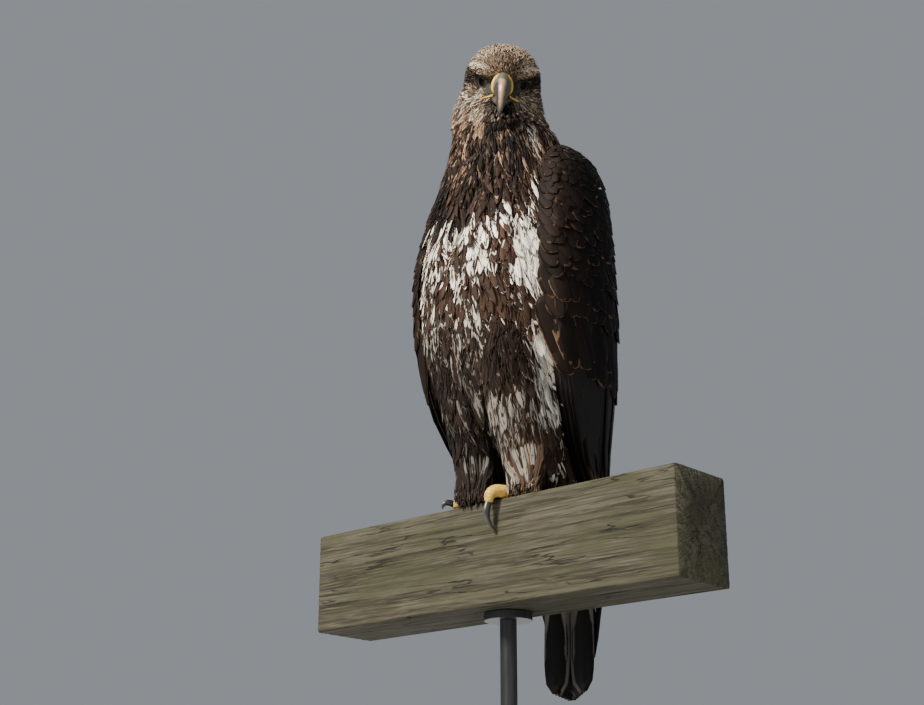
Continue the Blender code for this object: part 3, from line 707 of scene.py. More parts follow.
def body_marking(points, rng):
    """The marking at places on the neck, trunk and thighs: a drop of 0 leaves a feather white, 1 fills it. It
    also paints shade: on the lower front at the bird's right, in two hollows, in creases of the bib and on the
    neck below the bill.
    """
    h, angle = body_place(points)
    count = len(points)
    chance = rng.random((count, 4))
    border = bib_border(angle) + rng.normal(0, 0.005, count) + 0.009 * drift(points, 9, 0.016, 0.05)
    bib = ramp(-0.004, 0.004, h - border)
    back = ramp(95, 112, np.abs(angle))
    front = 1 - back
    band = ramp(0.03, 0.008, border - h) * np.clip(0.3 + 0.9 * drift(points, 3, 0.01, 0.02), 0, 1)
    belly = blotch(angle, h, (20, 0.115), (48, 0.062))
    brown_patch = blotch(angle, h, (28, 0.215), (20, 0.034)) + blotch(angle, h, (8, 0.16), (24, 0.03))
    flank = blotch(angle, h, (55, 0.25), (13, 0.06)) + blotch(angle, h, (55, 0.152), (14, 0.045))
    low_pale = blotch(angle, h, (62, 0.095), (24, 0.03))
    # painted shade: on the lower front at the bird's right the white ground turns grey, the fringes grey and
    # the marks near black
    shade = ramp(0.25, 0.13, h) * ramp(40, 8, angle) * front
    # painted shade: two patches on the lower front where the plumage sinks get bigger, near black drops, as
    # the shade in those hollows
    hollow = blotch(angle, h, (38, 0.155), (9, 0.026)) + blotch(angle, h, (45, 0.098), (16, 0.016))
    # painted shadow: the middle of the neck's front, below the bill, is darkened as the shadow under the head
    shaded = np.clip(1.8 * blotch(angle, h, (38, 0.425), (27, 0.088)), 0, 1)
    # painted shade: patches of the bib, and most of the neck below the bill, turn dark brown with near black
    # marks, as shade in the creases between masses of feathers
    painted_crease_shade = bib * np.clip(1.3 * drift(points, 21, 0.016, 0.1) - 0.2 + 1.5 * shaded, 0, 1)
    collar = ramp(0.43, 0.468, h + 0.008 * drift(points, 31, 0.01, 0.02)) * (1 - shaded)
    hoary = blotch(angle, h, (68, 0.418), (15, 0.03)) * (chance[:, 3] < 0.6)

    luck = chance[:, 0] + 0.3 * drift(points, 7, 0.013, 0.022)
    drop = np.where(luck < 0.05, 0.0, np.where(luck > 0.38, 1.25, 0.45 + 0.4 * chance[:, 1]))
    drop = drop + 0.35 * ramp(0.262, 0.2, h) + 0.3 * ramp(0.2, 0.15, h)
    drop = drop * (1 - 0.9 * band) + 0.6 * np.clip(brown_patch, 0, 1) + 0.7 * belly
    drop = drop * (1 - np.clip(flank * 1.35, 0, 0.97)) * (1 - 0.8 * low_pale)
    drop = drop * (1 - bib) + bib * (1.3 + 0.25 * chance[:, 0])
    drop = drop * front + back * (1.1 + 0.3 * chance[:, 0] - 0.75 * (chance[:, 2] < 0.13))
    drop = np.where((shade > 0.4) & (back + bib < 0.5), 0.62 + 0.5 * chance[:, 1], drop) + 1.2 * hollow
    streaky = bib * ramp(0.32, 0.37, h) * front
    drop = drop - streaky * (0.36 + 0.4 * chance[:, 2] * (chance[:, 0] < 0.5)) - 0.3 * collar
    drop = drop * (1 - 0.6 * hoary)

    ground = mixed(WHITE, CREAM, 0.25 + 0.5 * chance[:, 3] * ramp(0.3, 0.16, h))
    ground = mixed(ground, BUFF, 0.55 * belly)
    # painted shade greys the white ground on the lower front at the bird's right
    ground = mixed(ground, GREY * (0.12 + 0.42 * chance[:, 2:3] ** 2), 0.95 * shade)
    ground = mixed(ground, TAN * (0.75 + 0.5 * chance[:, 1:2]), bib * 0.95)
    ground = mixed(ground, BUFF, back * 0.8)
    worn = np.maximum(bib, back)
    fringe = mixed(ground, mixed(BUFF, TAN, worn), 0.5 + 0.25 * worn)
    fringe = mixed(fringe, GREY * 0.45, 0.9 * shade)
    ground = mixed(ground, BUFF * 0.9, 0.75 * collar)
    ground = mixed(ground, GREY * 1.5, hoary)
    # painted shade in the creases of the bib and under the bill
    ground = mixed(ground, DARK, 0.8 * painted_crease_shade)

    mark = mixed(WARM, DARK, 0.15 + 0.8 * chance[:, 2])
    mark = mixed(mark, DARK, 0.6 * back + 0.5 * ramp(0.14, 0.05, h) * front)
    mark = mixed(mark, BLACKISH, 0.6 * shade + 0.35 * back + 0.6 * bib * front * (chance[:, 3] < 0.65))
    # painted shade in the two hollows
    mark = mixed(mark, BLACKISH, np.clip(1.6 * hollow, 0, 0.9))
    mark = mixed(mark, BLACKISH, 0.85 * painted_crease_shade)
    rim = 0.14 * chance[:, 1] * (1 - bib) + bib * 0.06 + 0.16 * shade
    return marking_of(ground, mark, fringe, drop, rim, chance[:, 3])


def plain_marking(points, rng, dark, edge, drop=1.2, rim=0.1, flecks=0.0):
    """One dark colour with a paler edge, and a few feathers by chance with a cream tip."""
    chance = rng.random((len(points), 4))
    lucky = chance[:, 1] < flecks
    ground = np.where(lucky[:, None], CREAM, edge * (0.7 + 0.6 * chance[:, 2:3]))
    mark = dark * (0.75 + 0.5 * chance[:, :1])
    return marking_of(ground, mark, ground, drop + 0 * chance[:, 0], rim + 0.12 * lucky, chance[:, 3])


print("the bib ends this high over the timber, right, front and left:", bib_border(np.array([-60, 0, 60])))

# %% [markdown]
# A feather's colour is in its barbs, fine parallel threads that run out from the shaft at a slant. The finish
# draws the dark drop along the shaft, the paler fringe at the edge, streaks along the barbs and the shaft
# itself from the feather's own map, in the colours that each feather carries.

# %% Node helpers and the feather finish
class Field:
    """A number or colour that varies over a surface: a socket of a node tree that takes plain arithmetic."""

    def __init__(self, socket):
        self.socket = socket

    def step(self, operation, *others):
        made = self.socket.id_data.nodes.new("ShaderNodeMath")
        made.operation = operation
        for socket, value in zip(made.inputs, (self,) + others):
            feed(socket, value)
        return Field(made.outputs[0])

    def __add__(self, other):
        return self.step("ADD", other)

    def __sub__(self, other):
        return self.step("SUBTRACT", other)

    def __mul__(self, other):
        return self.step("MULTIPLY", other)

    def __pow__(self, other):
        return self.step("POWER", other)

    def __abs__(self):
        return self.step("ABSOLUTE")

    def held(self):
        """The same, held between 0 and 1."""
        self.socket.node.use_clamp = True
        return self


def feed(socket, value):
    """A field is linked to a socket, and a plain number, vector or colour is set on it."""
    if isinstance(value, Field):
        socket.id_data.links.new(value.socket, socket)
    elif isinstance(value, (tuple, list, np.ndarray)) and socket.type == "RGBA":
        socket.default_value = (*value, 1.0)
    else:
        socket.default_value = value


class Finish:
    """A material in the making: fields that vary over the piece, and the shader that they end in."""

    def __init__(self, name):
        self.material = bpy.data.materials.new(name)
        self.material.use_nodes = True
        self.tree = self.material.node_tree
        self.shader = self.tree.nodes["Principled BSDF"]

    @property
    def place(self):
        """The piece's own coordinates, in metres."""
        return self.node("ShaderNodeTexCoord", "Object")

    def node(self, kind, output=0, **settings):
        """One output of a new node. Settings name its own properties, or its inputs by their labels."""
        made = self.tree.nodes.new(kind)
        for word, value in settings.items():
            if hasattr(made, word):
                setattr(made, word, value)
            else:
                feed(made.inputs[word.replace("_", " ")], value)
        return Field(made.outputs[output])

    def own(self, word, output="Fac"):
        """A value, vector or colour that the piece carries at its points."""
        return self.node("ShaderNodeAttribute", output, attribute_name=word)

    def split(self, vector):
        return [Field(out) for out in self.node("ShaderNodeSeparateXYZ", Vector=vector).socket.node.outputs]

    def joined(self, x, y=0.0, z=0.0):
        return self.node("ShaderNodeCombineXYZ", X=x, Y=y, Z=z)

    def noise(self, vector, scale, detail=2.0, roughness=0.5):
        return self.node("ShaderNodeTexNoise", "Fac", Vector=vector, Scale=scale, Detail=detail,
                         Roughness=roughness)

    def grain(self, stretch, scale=1.0, detail=2.0, roughness=0.5):
        """Noise over the piece, squeezed by a factor along each axis."""
        vector = self.node("ShaderNodeMapping", Vector=self.place, Scale=stretch)
        return self.noise(vector, scale, detail, roughness)

    def between(self, value, low, high):
        """The value mapped smoothly so that low becomes 0 and high becomes 1."""
        return self.node("ShaderNodeMapRange", "Result", interpolation_type="SMOOTHSTEP", Value=value,
                         From_Min=low, From_Max=high)

    def mix(self, share, a, b, blend_type="MIX"):
        """A colour between a and b, or their product where the blend says so."""
        made = self.node("ShaderNodeMix", 2, data_type="RGBA", blend_type=blend_type, clamp_factor=True)
        for number, value in ((0, share), (6, a), (7, b)):
            feed(made.socket.node.inputs[number], value)
        return made

    def tinted(self, colour, shine):
        """A colour multiplied by a number."""
        grey = self.node("ShaderNodeCombineColor", Red=shine, Green=shine, Blue=shine)
        return self.mix(1.0, colour, grey, "MULTIPLY")

    def done(self, colour, relief=None, strength=0.0, distance=0.0, **settings):
        """The material, with its colour, its relief as a bump, and settings on the shader's own sockets."""
        feed(self.shader.inputs["Base Color"], colour)
        if relief is not None:
            bump = self.node("ShaderNodeBump", Strength=strength, Distance=distance, Height=relief)
            feed(self.shader.inputs["Normal"], bump)
        for word, value in settings.items():
            feed(self.shader.inputs[word.replace("_", " ")], value)
        print("finish:", self.material.name, "nodes:", len(self.tree.nodes))
        return self.material


def feather_finish(name, threads, slant, fuzz, roughness, gloss, sheen, mottle=0.0):
    """Barbs are noise that is constant along lines of length share minus slant times distance from the shaft.

    The drop covers the places whose distance from the shaft is under its size, which grows towards the tip
    and is frayed by the barbs. The fringe lies past a distance from shaft and root, less the fringe's width.
    """
    f = Finish(name)
    across, t, _ = f.split(f.node("ShaderNodeUVMap", uv_map="vane"))
    x = abs(across * 2.0 - 1.0)
    size, rim, chance = f.split(f.own("pattern", "Vector"))
    thread = f.noise(f.joined((t - x * slant) * threads, x * 1.2, chance * 91.0), 1.0, 3.0, 0.6)
    cloud = f.noise(f.joined(t * 3.0, across * 3.0, chance * 57.0), 1.3)
    patch = (f.grain((150.0, 150.0, 85.0)) - 0.5) * mottle
    begun = (f.between(t, 0.35, 0.75) + (size * 2.5 - 2.1)).held()
    spread = f.between(t, 0.78, 0.97) * (chance * 2.2 - 0.9)
    drop = size * (begun * (spread + 1.0)) + (thread - 0.5) * fuzz + (cloud - 0.5) * 0.4
    drop = drop + patch * f.between(size, 0.02, 0.35)
    edge = (x**1.5).step("MAXIMUM", t**9.0) + (thread - 0.5) * 0.25
    colour = f.mix(f.between(drop - x, -0.04, 0.1), f.own("ground", "Color"), f.own("mark", "Color"))
    colour = f.mix(f.between(edge + rim, 0.95, 1.08) * 0.8, colour, f.own("fringe", "Color"))
    shaft = f.between(x, 0.035, 0.07)
    shine = (thread * 0.55 + 0.72) * (chance * 0.45 + 0.78) * (shaft * 0.3 + 0.7)
    return f.done(f.tinted(colour, shine), thread + shaft * -0.6, 0.35, 0.0005, Roughness=roughness,
                  Specular_IOR_Level=gloss, Sheen_Weight=sheen, Sheen_Roughness=0.5)


plumage = feather_finish("plumage", 26.0, 0.45, 0.6, 0.7, 0.1, 0.0, 3.2)
soft_plumage = feather_finish("plumage_soft", 16.0, 0.9, 0.9, 0.8, 0.08, 0.02, 3.2)
head_plumage = feather_finish("plumage_head", 9.0, 0.8, 0.6, 0.75, 0.1, 0.02)
quill_plumage = feather_finish("plumage_quill", 90.0, 0.16, 0.3, 0.55, 0.16, 0.0)

# %% [markdown]
# Contour feathers cover the neck, breast, belly and back: long narrow hackles on the neck, pointed feathers
# on the bib, loose plumes on breast and belly, and broad round ones on the back. They all point down and a
# little backwards. None is laid where a folded wing hides the body. Fine strands that have slipped from the
# vanes lie over them, as on any living bird.

# %% Body feathers
# sizes of the body's feathers at heights over the timber
BODY_LENGTH = ([-0.02, 0.05, 0.12, 0.2, 0.3, 0.36, 0.42, 0.48],
               [0.046, 0.044, 0.04, 0.034, 0.03, 0.033, 0.031, 0.022])
BODY_WIDTH = ([-0.02, 0.12, 0.2, 0.3, 0.33, 0.36, 0.42, 0.48],
              [0.015, 0.0135, 0.0105, 0.0095, 0.0095, 0.0085, 0.0066, 0.0046])
WING_HEIGHTS = np.linspace(WING_FOOT, WING_TOP, 60)
COVER_FROM, COVER_TO = (np.degrees(edge) for edge in wing_edges(1, WING_HEIGHTS, body_axis))


def body_heading(points, down, across, normal):
    """Down the body, leaning towards the back on the flanks, and straight down on the neck."""
    h, angle = body_place(points)
    lean = np.sin(np.radians(angle)) * np.interp(h, [0.0, 0.1, 0.25, 0.4], [0.05, 0.16, 0.2, 0.05])
    return down + across * lean[:, None]


def under_wing(points, margin):
    """Whether places on the body lie under a folded wing, by more than a margin in degrees."""
    h, angle = body_place(points)
    first = np.interp(points[:, 2], WING_HEIGHTS, COVER_FROM) + margin
    last = np.interp(points[:, 2], WING_HEIGHTS, COVER_TO) - margin
    return (np.abs(angle) > first) & (np.abs(angle) < last) & (h < 0.405)


def seen_front(points):
    return ~under_wing(points, 16) & (np.abs(body_place(points)[1]) < 95)


def seen_back(points):
    return ~under_wing(points, 14) & (np.abs(body_place(points)[1]) >= 95)


def wisps(chart, roots, length, heading, marking, seed, each, base=0.0017, wide=0.0014):
    """Loose barbs that have slipped from the vanes: thin strands over the coat, some for each feather."""
    rng = np.random.default_rng(seed)
    chosen = np.repeat(np.arange(len(roots)), each)
    count = len(chosen)
    step = np.stack([rng.uniform(-0.003, 0.028, count), rng.normal(0, 0.012, count)], 1)
    size = length[chosen] * rng.uniform(0.3, 0.62, count)
    skew = rng.normal(0, 0.25, count)
    look = look_of(count, seed, lift=0.12, bow=0.1, base=base, sweep=0.5, ragged=0.1, section=ACROSS_THIN)
    place = roots[chosen] + step
    path, normals = walk(chart, place, size, heading, np.linspace(0, 1, 5), skew)
    colours, pattern = marking(path[:, 3])
    dark = pattern[:, :1] > rng.uniform(0.1, 1.0, (count, 1))
    tone = np.where(dark, colours["mark"], colours["ground"])
    width = wide * rng.uniform(0.65, 1.35, count)
    plain = {"ground": tone, "mark": tone, "fringe": tone}, pattern * (0, 0, 1)
    return tract(vanes(path, normals, size, width, "leaf", look), on_unwrap(place), plain)


def body_coat(name, top, foot, shape, finish, seed, keep, lift, fine):
    """Feathers of the body chart between two heights, as one piece, with some fine strands for each."""
    rng = np.random.default_rng(seed)
    span = BODY_TOP - BODY_FOOT
    above = BODY_TOP - PERCH
    roots = rows_of_roots(
        body_chart, (above - top) / span, (above - foot) / span,
        lambda u: np.interp(BODY_TOP - u * span - PERCH, *BODY_LENGTH) * 0.36,
        lambda u: np.interp(BODY_TOP - u * span - PERCH, *BODY_WIDTH) * 0.62, seed)
    roots = roots[keep(body_chart.at(*roots.T))]
    h = body_chart.at(*roots.T)[:, 2] - PERCH
    length = np.interp(h, *BODY_LENGTH) * (1 + rng.normal(0, 0.11, len(h)))
    width = np.interp(h, *BODY_WIDTH) * (1 + rng.normal(0, 0.1, len(h)))
    skew = rng.normal(0, 0.13, len(h))
    look = look_of(len(h), seed, lift=lift, bow=0.28, sweep=0.15, ragged=0.05)

    def marking(points):
        return body_marking(points, rng)

    group = laid(body_chart, roots, length, width, shape, body_heading, marking, look, skew=skew)
    strands = wisps(body_chart, roots, length, body_heading, marking, seed + 500, fine)
    return coat(name, [group, strands], finish, "plumage")


body_coat("hackles_neck", 0.489, 0.385, "hackle", plumage, 11, lambda p: to_head(p)[:, 2] < -0.04, 0.1, 1)
body_coat("feathers_bib", 0.4, 0.305, "leaf", plumage, 15, seen_front, 0.115, 3)
body_coat("feathers_breast", 0.312, 0.19, "plume", plumage, 12, seen_front, 0.115, 3)
body_coat("feathers_belly", 0.198, 0.02, "plume", soft_plumage, 13, seen_front, 0.12, 7)
body_coat("feathers_back", 0.4, 0.0, "round", plumage, 14, seen_back, 0.11, 2)

# %% [markdown]
# An eagle's thighs wear long loose feathers, its trousers, which hang over the tarsi almost to the toes. Each
# thigh gets a chart round its own leaning axis. Roots that would lie inside the belly are left out.

# %% Thigh feathers
THIGH_TOP, THIGH_FOOT = PERCH + 0.185, PERCH + 0.012
# how far each thigh's axis lies from the middle, and further in than that, at heights over the timber
THIGH_OUT = 0.0445
THIGH_INWARD = {1: ([0.0], [0.0]),
                -1: ([0.0, 0.04, 0.08, 0.125, 0.17, 0.205], [0.016, 0.02, 0.022, 0.018, 0.01, 0.004])}
# first and last X of the hem feathers' tips, their Y and their height over the timber
HEM_TIPS = {1: (0.036, 0.078, -0.0405, 0.003), -1: (-0.034, 0.009, -0.0462, 0.002)}


def thigh_chart(side):
    """The thigh's surface round its own axis, which leans forwards as it rises."""
    def axis(height):
        up = height - PERCH
        x = side * (THIGH_OUT - np.interp(up, *THIGH_INWARD[side]))
        y = np.interp(up, [0.0, 0.03, 0.055, 0.085, 0.125, 0.17, 0.19],
                      [-0.012, -0.012, -0.017, -0.026, -0.035, -0.04, -0.04])
        return np.stack([x, y, height], 1)

    heights = np.linspace(THIGH_TOP, THIGH_FOOT, 90)
    depth = np.interp(heights - PERCH, [0.01, 0.15], [0.003, 0.006])
    return round_chart(["thigh_" + SIDES[side]], heights, 72, axis, depth, 2, 0.2)


def inside_body(points, margin):
    """Whether places lie inside the trunk's own chart, compared by distance from the body's axis."""
    axis = body_axis(points[:, 2])
    u = (BODY_TOP - points[:, 2]) / (BODY_TOP - BODY_FOOT)
    trunk = np.linalg.norm((body_chart.at(u, body_place(points)[1] / 360) - axis)[:, :2], axis=1)
    return np.linalg.norm((points - axis)[:, :2], axis=1) < trunk - margin


def straight_down(points, down, across, normal):
    return down


def thigh_marking(points, side, rng):
    """The left thigh is pale above and brown below, its pale feathers greyed and dimmed by painted shade. The
    right one is dark, with streaks greyed by painted shade. Near the timber both turn near black as painted
    shade.
    """
    h, angle = body_place(points)
    chance = rng.random((len(h), 4))
    above = h - np.interp(angle, [18, 40], [0.036, 0.064]) + rng.normal(0, 0.006, len(h))
    if side > 0:
        middle = 0.8 * ramp(0.106, 0.092, h) * ramp(2, 14, angle)
        pale = ramp(0.0, 0.014, above) * np.maximum(ramp(34, 50, angle), middle) * (chance[:, 2] < 0.85)
        drop = (1.15 + 0.3 * chance[:, 0]) * (1 - 0.9 * pale)
        # painted shade: the left thigh's pale feathers are grey towards the middle and only dim white at the
        # side
        ground = mixed(BUFF * 0.4, mixed(GREY * 0.6, WHITE * 0.65, ramp(36, 50, angle)), pale)
        upper = ramp(0.07, 0.12, h)[:, None]
        mark = (WARM * 0.7 + GREY * 0.022) * (0.25 + 1.15 * chance[:, 1:2]) * (1 - 0.65 * upper)
    else:
        drop = 0.65 + 0.8 * chance[:, 0]
        # painted shade: the right thigh's pale streaks are dark grey
        ground = GREY * (0.07 + 0.25 * chance[:, 2:3])
        mark = mixed(DARK, BLACKISH, 0.7 * chance[:, 1])
    # painted shade: feathers near the timber turn near black, as the shade between thigh and timber
    mark = mixed(mark, BLACKISH, 0.85 * ramp(0.02, 0.008, h))
    return marking_of(ground, mark, mixed(ground, TAN * 0.9, 0.6 + 0 * h), drop, 0.1, chance[:, 3])


def hem_tract(chart, side, rng, count=240):
    """Long feathers from the thigh's front that hang forwards over the toes to the timber's edge.

    Each follows a cubic curve from its root, leaving along the coat and coming down to its tip from above.
    """
    first, last, forward, up = HEM_TIPS[side]
    share = rng.random(count)
    h = rng.uniform(0.02, 0.062, count)
    roots = np.stack([(THIGH_TOP - PERCH - h) / (THIGH_TOP - THIGH_FOOT), (share - 0.5) * 0.42], 1)
    root, down, _, normal = chart.frame(*roots.T)
    tip = np.stack([first + (last - first) * share, forward + rng.normal(0, 0.0012, count),
                    PERCH + up + rng.normal(0, 0.0035, count) + 0.15 * (h - 0.02)], 1)
    leave = root + normal * 0.005 + unit(down) * 0.014
    arrive = tip + np.array([0, 0.001, 0.014])
    t = STATIONS[:, None]
    path = (root[:, None] * (1 - t) ** 3 + 3 * leave[:, None] * t * (1 - t) ** 2
            + 3 * arrive[:, None] * t**2 * (1 - t) + tip[:, None] * t**3)
    normals = unit(normal[:, None] * (1 - t) + np.array([0, -0.95, 0.3]) * t)
    length = np.linalg.norm(np.diff(path, axis=1), axis=2).sum(1)
    look = look_of(count, 71 + side, lift=0.02, bow=0.4, base=0.001, sweep=0.5, ragged=0.12)
    tones = thigh_marking(root, side, rng)
    width = rng.uniform(0.0032, 0.0062, count)
    return tract(vanes(path, normals, length, width, "plume", look), on_unwrap(roots), tones)


def thigh_coat(side):
    """Loose feathers round one thigh, its fine strands and its hem, as one piece."""
    chart = thigh_chart(side)
    rng = np.random.default_rng(21 + side)
    roots = rows_of_roots(chart, 0.0, 1.0, lambda u: 0.0145, lambda u: 0.0075, 31 + side)
    points = chart.at(*roots.T)
    seen = ~inside_body(points, 0.004)
    roots, h = roots[seen], points[seen, 2] - PERCH
    length = np.interp(h, [0.01, 0.03, 0.08, 0.18], [0.018, 0.03, 0.044, 0.044])
    length = length * (1 + rng.normal(0, 0.11, len(h)))
    width = np.interp(h, [0.01, 0.06, 0.18], [0.008, 0.011, 0.014]) * (1 + rng.normal(0, 0.1, len(h)))
    skew = rng.normal(0, 0.12, len(h))
    look = look_of(len(h), 41 + side, lift=0.1, bow=0.3, sweep=0.25, ragged=0.07)
    look["lift"] = look["lift"] * np.interp(h, [0.02, 0.06], [0.35, 1.0])

    def marking(points):
        return thigh_marking(points, side, rng)

    group = laid(chart, roots, length, width, "plume", straight_down, marking, look, skew=skew)
    strands = wisps(chart, roots, length, straight_down, marking, 45 + side, 8)
    tracts = [group, strands, hem_tract(chart, side, rng)]
    return coat("feathers_thigh_" + SIDES[side], tracts, soft_plumage, "plumage")


for side in SIDES:
    thigh_coat(side)

# %% [markdown]
# A folded wing shows its feathers in orders. Small coverts cover the wrist and shoulder, two rows of medians
# follow, then the greater coverts over the roots of the secondaries. The secondaries lie like a closed fan,
# and the primaries make the long point under them. Each flight feather runs between two places on the chart.

# %% Wing feathers
QUILL_SHARES = np.linspace(0, 1, 18)
QUILL_SHAPE = np.interp(QUILL_SHARES, [0, 0.06, 0.2, 0.5, 0.8, 0.92, 0.975, 1],
                        [0.4, 0.8, 0.96, 1, 0.96, 0.78, 0.5, 0.12])
PRIMARY_SHAPE = np.interp(QUILL_SHARES, [0, 0.06, 0.2, 0.5, 0.8, 0.93, 0.98, 1],
                          [0.5, 0.85, 1, 0.97, 0.8, 0.52, 0.3, 0.08])


def wing_u(h):
    """The wing chart's u at a height over the timber."""
    return (WING_TOP - PERCH - h) / (WING_TOP - WING_FOOT)


def grid_of_roots(chart, rows, gaps, seed):
    """Rows at given heights. Each holds as many roots as its length over the gap, and one more."""
    rng = np.random.default_rng(seed)
    found = []
    turns = np.linspace(0, 1, 61)
    for number, (h, gap) in enumerate(zip(rows, gaps)):
        line = chart.at(np.full(61, wing_u(h)), turns)
        reach = np.concatenate([[0], np.cumsum(np.linalg.norm(np.diff(line, axis=0), axis=1))])
        count = max(int(round(reach[-1] / gap)), 2)
        places = (np.arange(count + 1) + 0.5 * (number % 2) - 0.25) / count * reach[-1]
        places = np.clip(places + rng.normal(0, 0.12, count + 1) * gap, 0, reach[-1])
        u = wing_u(h + rng.normal(0, 0.1, count + 1) * gap)
        found.append(np.stack([u, np.interp(places, reach, turns)], 1))
    return np.concatenate(found)


def covert_rows(top, foot, length_top, length_foot, width_share, overlap):
    """Heights and gaps of rows between two heights, with feathers growing down the wing."""
    rows, gaps = [], []
    h = top
    while h > foot:
        length = np.interp(h, [foot, top], [length_foot, length_top])
        rows.append(h)
        gaps.append(length * width_share * 0.62)
        h = h - length * overlap
    return rows, gaps


def covert_tract(chart, rows, gaps, sizes, shape, lift, base, seed, edge_tone, flecks, lean):
    """Coverts of one order, pointing down the wing and leaning back by an angle that lessens towards the tips.

    Sizes are lengths and widths at 0.26 and 0.414 over the timber. Near the leading edge they are browner with
    tan fringes, as painted light; elsewhere their marks are near black, a dark brown deepened by painted
    shade.
    """
    rng = np.random.default_rng(seed)
    roots = grid_of_roots(chart, rows, gaps, seed)
    h = chart.at(*roots.T)[:, 2] - PERCH
    length, width = (np.interp(h, [0.26, 0.414], pair) * (1 + rng.normal(0, 0.06, len(h))) for pair in sizes)

    def heading(points, down, across, normal):
        angle = np.radians(np.interp(points[:, 2] - PERCH, [0.1, 0.4], lean))[:, None]
        return down * np.cos(angle) + across * np.sin(angle)

    def marking(points):
        # painted light: near the leading edge the marks are browner and the fringes tan, as if lit; elsewhere
        # painted shade leaves the marks near black
        front = ramp(0.3, 0.05, roots[:, 1])
        colours, pattern = plain_marking(points, rng, DARK, edge_tone, 1.25, 0.11, flecks)
        shine = 0.7 + 0.6 * rng.random((len(h), 1))
        colours["mark"] = mixed(BLACKISH * 0.6, WARM * 0.17, 0.8 * front) * shine
        colours["fringe"] = mixed(colours["fringe"], TAN, 0.5 * front)
        return colours, pattern

    look = look_of(len(h), seed, lift=lift, bow=0.22, base=base, sweep=0.1, ragged=0.02)
    return laid(chart, roots, length, width, shape, heading, marking, look)


def wing_breadth(chart, u):
    """Metres from the leading edge to the hind edge of the wing at each u."""
    breadth = np.linalg.norm(np.diff(chart.points, axis=1), axis=2).sum(1)
    return np.interp(u, np.linspace(0, 1, len(breadth)), breadth)


def flight_tract(chart, root, tip, outline, width, base, lift, seed, dark=BLACKISH, from_edge=None):
    """Long feathers from a root place to a tip place each, along straight lines on the chart.

    Where distances from the leading edge are given in metres, they take the place of v."""
    count, stations = len(root), len(QUILL_SHARES)
    shares = QUILL_SHARES[:, None]
    line = root[:, None] * (1 - shares) + tip[:, None] * shares
    if from_edge is not None:
        metres = from_edge[0][:, None] * (1 - QUILL_SHARES) + from_edge[1][:, None] * QUILL_SHARES
        line[..., 1] = np.minimum(metres / wing_breadth(chart, line[..., 0]), 0.5)
    point, _, _, normal = chart.frame(line[..., 0].ravel(), line[..., 1].ravel())
    path, normals = point.reshape(count, stations, 3), normal.reshape(count, stations, 3)
    length = np.linalg.norm(np.diff(path, axis=1), axis=2).sum(1)
    rng = np.random.default_rng(seed)
    look = look_of(count, seed, lift=0.0, bow=0.1, roll=0.0, sweep=0.0, ragged=0.006)
    look["base"] = base
    look["lift"] = lift / length
    look["roll"] = rng.normal(0, 0.02, count)
    tones = plain_marking(path[:, 9], rng, dark, TAN * 0.28, 1.3, 0.045)
    return tract(vanes(path, normals, length, np.full(count, width), outline, look), on_unwrap(root), tones)


def wing_coat(side):
    """One wing: its coverts in three orders, thirteen secondaries, and nine primaries under them."""
    chart, seed, word = wing_charts[side], 60 + 10 * side, SIDES[side]
    coverts = [
        covert_tract(chart, *covert_rows(0.414, 0.262, 0.015, 0.03, 0.8, 0.42),
                     ([0.031, 0.016], [0.022, 0.0125]),
                     "round", 0.1, 0.0016, seed, TAN * 0.28, 0.03, (16, 30)),
        covert_tract(chart, [0.252, 0.236], [0.0145, 0.0155], ([0.044, 0.044], [0.026, 0.026]),
                     "round", 0.075, 0.0012, seed + 1, TAN * 0.28, 0.0, (12, 20)),
        covert_tract(chart, [0.215, 0.203], [0.0165, 0.018], ([0.078, 0.078], [0.029, 0.029]),
                     "quill", 0.03, 0.0014, seed + 2, TAN * 0.3, 0.0, (10, 14)),
    ]
    share = (np.arange(13) + 0.5) / 13
    root = np.stack([wing_u(0.235 + 0 * share), 0.06 + 0.88 * share], 1)
    tip = np.stack([wing_u(np.interp(share, [0, 1], [0.03, -0.012])), 0.2 + 0.76 * share], 1)
    base = 0.0013 - 0.0012 * share
    secondaries = flight_tract(chart, root, tip, QUILL_SHAPE, 0.036, base, 0.0006, seed + 3)
    share = (np.arange(9) + 0.5) / 9
    root = np.stack([wing_u(0.2 + 0 * share), 0.03 + 0.3 * share], 1)
    tip = np.stack([wing_u(np.interp(share, [0, 1], [-0.158, -0.04])), 0.3 + 0 * share], 1)
    base = -0.0012 + 0.0012 * share
    primaries = flight_tract(chart, root, tip, PRIMARY_SHAPE, 0.027, base, 0.0004, seed + 4, BLACKISH * 0.8,
                             (0.01 + 0.045 * share, 0.009 + 0.055 * share))
    coat("coverts_" + word, coverts, plumage, "plumage")
    coat("secondaries_" + word, [secondaries], quill_plumage, "flight")
    coat("primaries_" + word, [primaries], quill_plumage, "flight", "flight_" + word)


for side in SIDES:
    wing_coat(side)

# %% [markdown]
# The tail hangs as a closed fan of twelve feathers. Seen from above the middle pair lies uppermost, and
# each pair further out lies under it. They are nearly black, with grey along their edges. Softer coverts
# hide the quills above and below.

# %% Tail feathers
TAIL_TOP, TAIL_END = PERCH + 0.045, PERCH - 0.15
TAIL_Y = 0.1065
TAIL_SHARES = np.linspace(0, 1, 20)
TAIL_SHAPE = np.interp(TAIL_SHARES, [0, 0.1, 0.4, 0.8, 0.93, 0.98, 1], [0.5, 0.75, 0.9, 1, 0.9, 0.62, 0.25])


def tail_axis(height):
    return np.stack([0 * height, TAIL_Y + np.interp(height - PERCH, [-0.1, 0.04], [0, -0.012]), height], 1)


tail_heights = np.linspace(TAIL_TOP, TAIL_END, 80)
tail_chart = round_chart(["tail", "trunk"], tail_heights, 96, tail_axis, np.full(80, 0.003), 2)


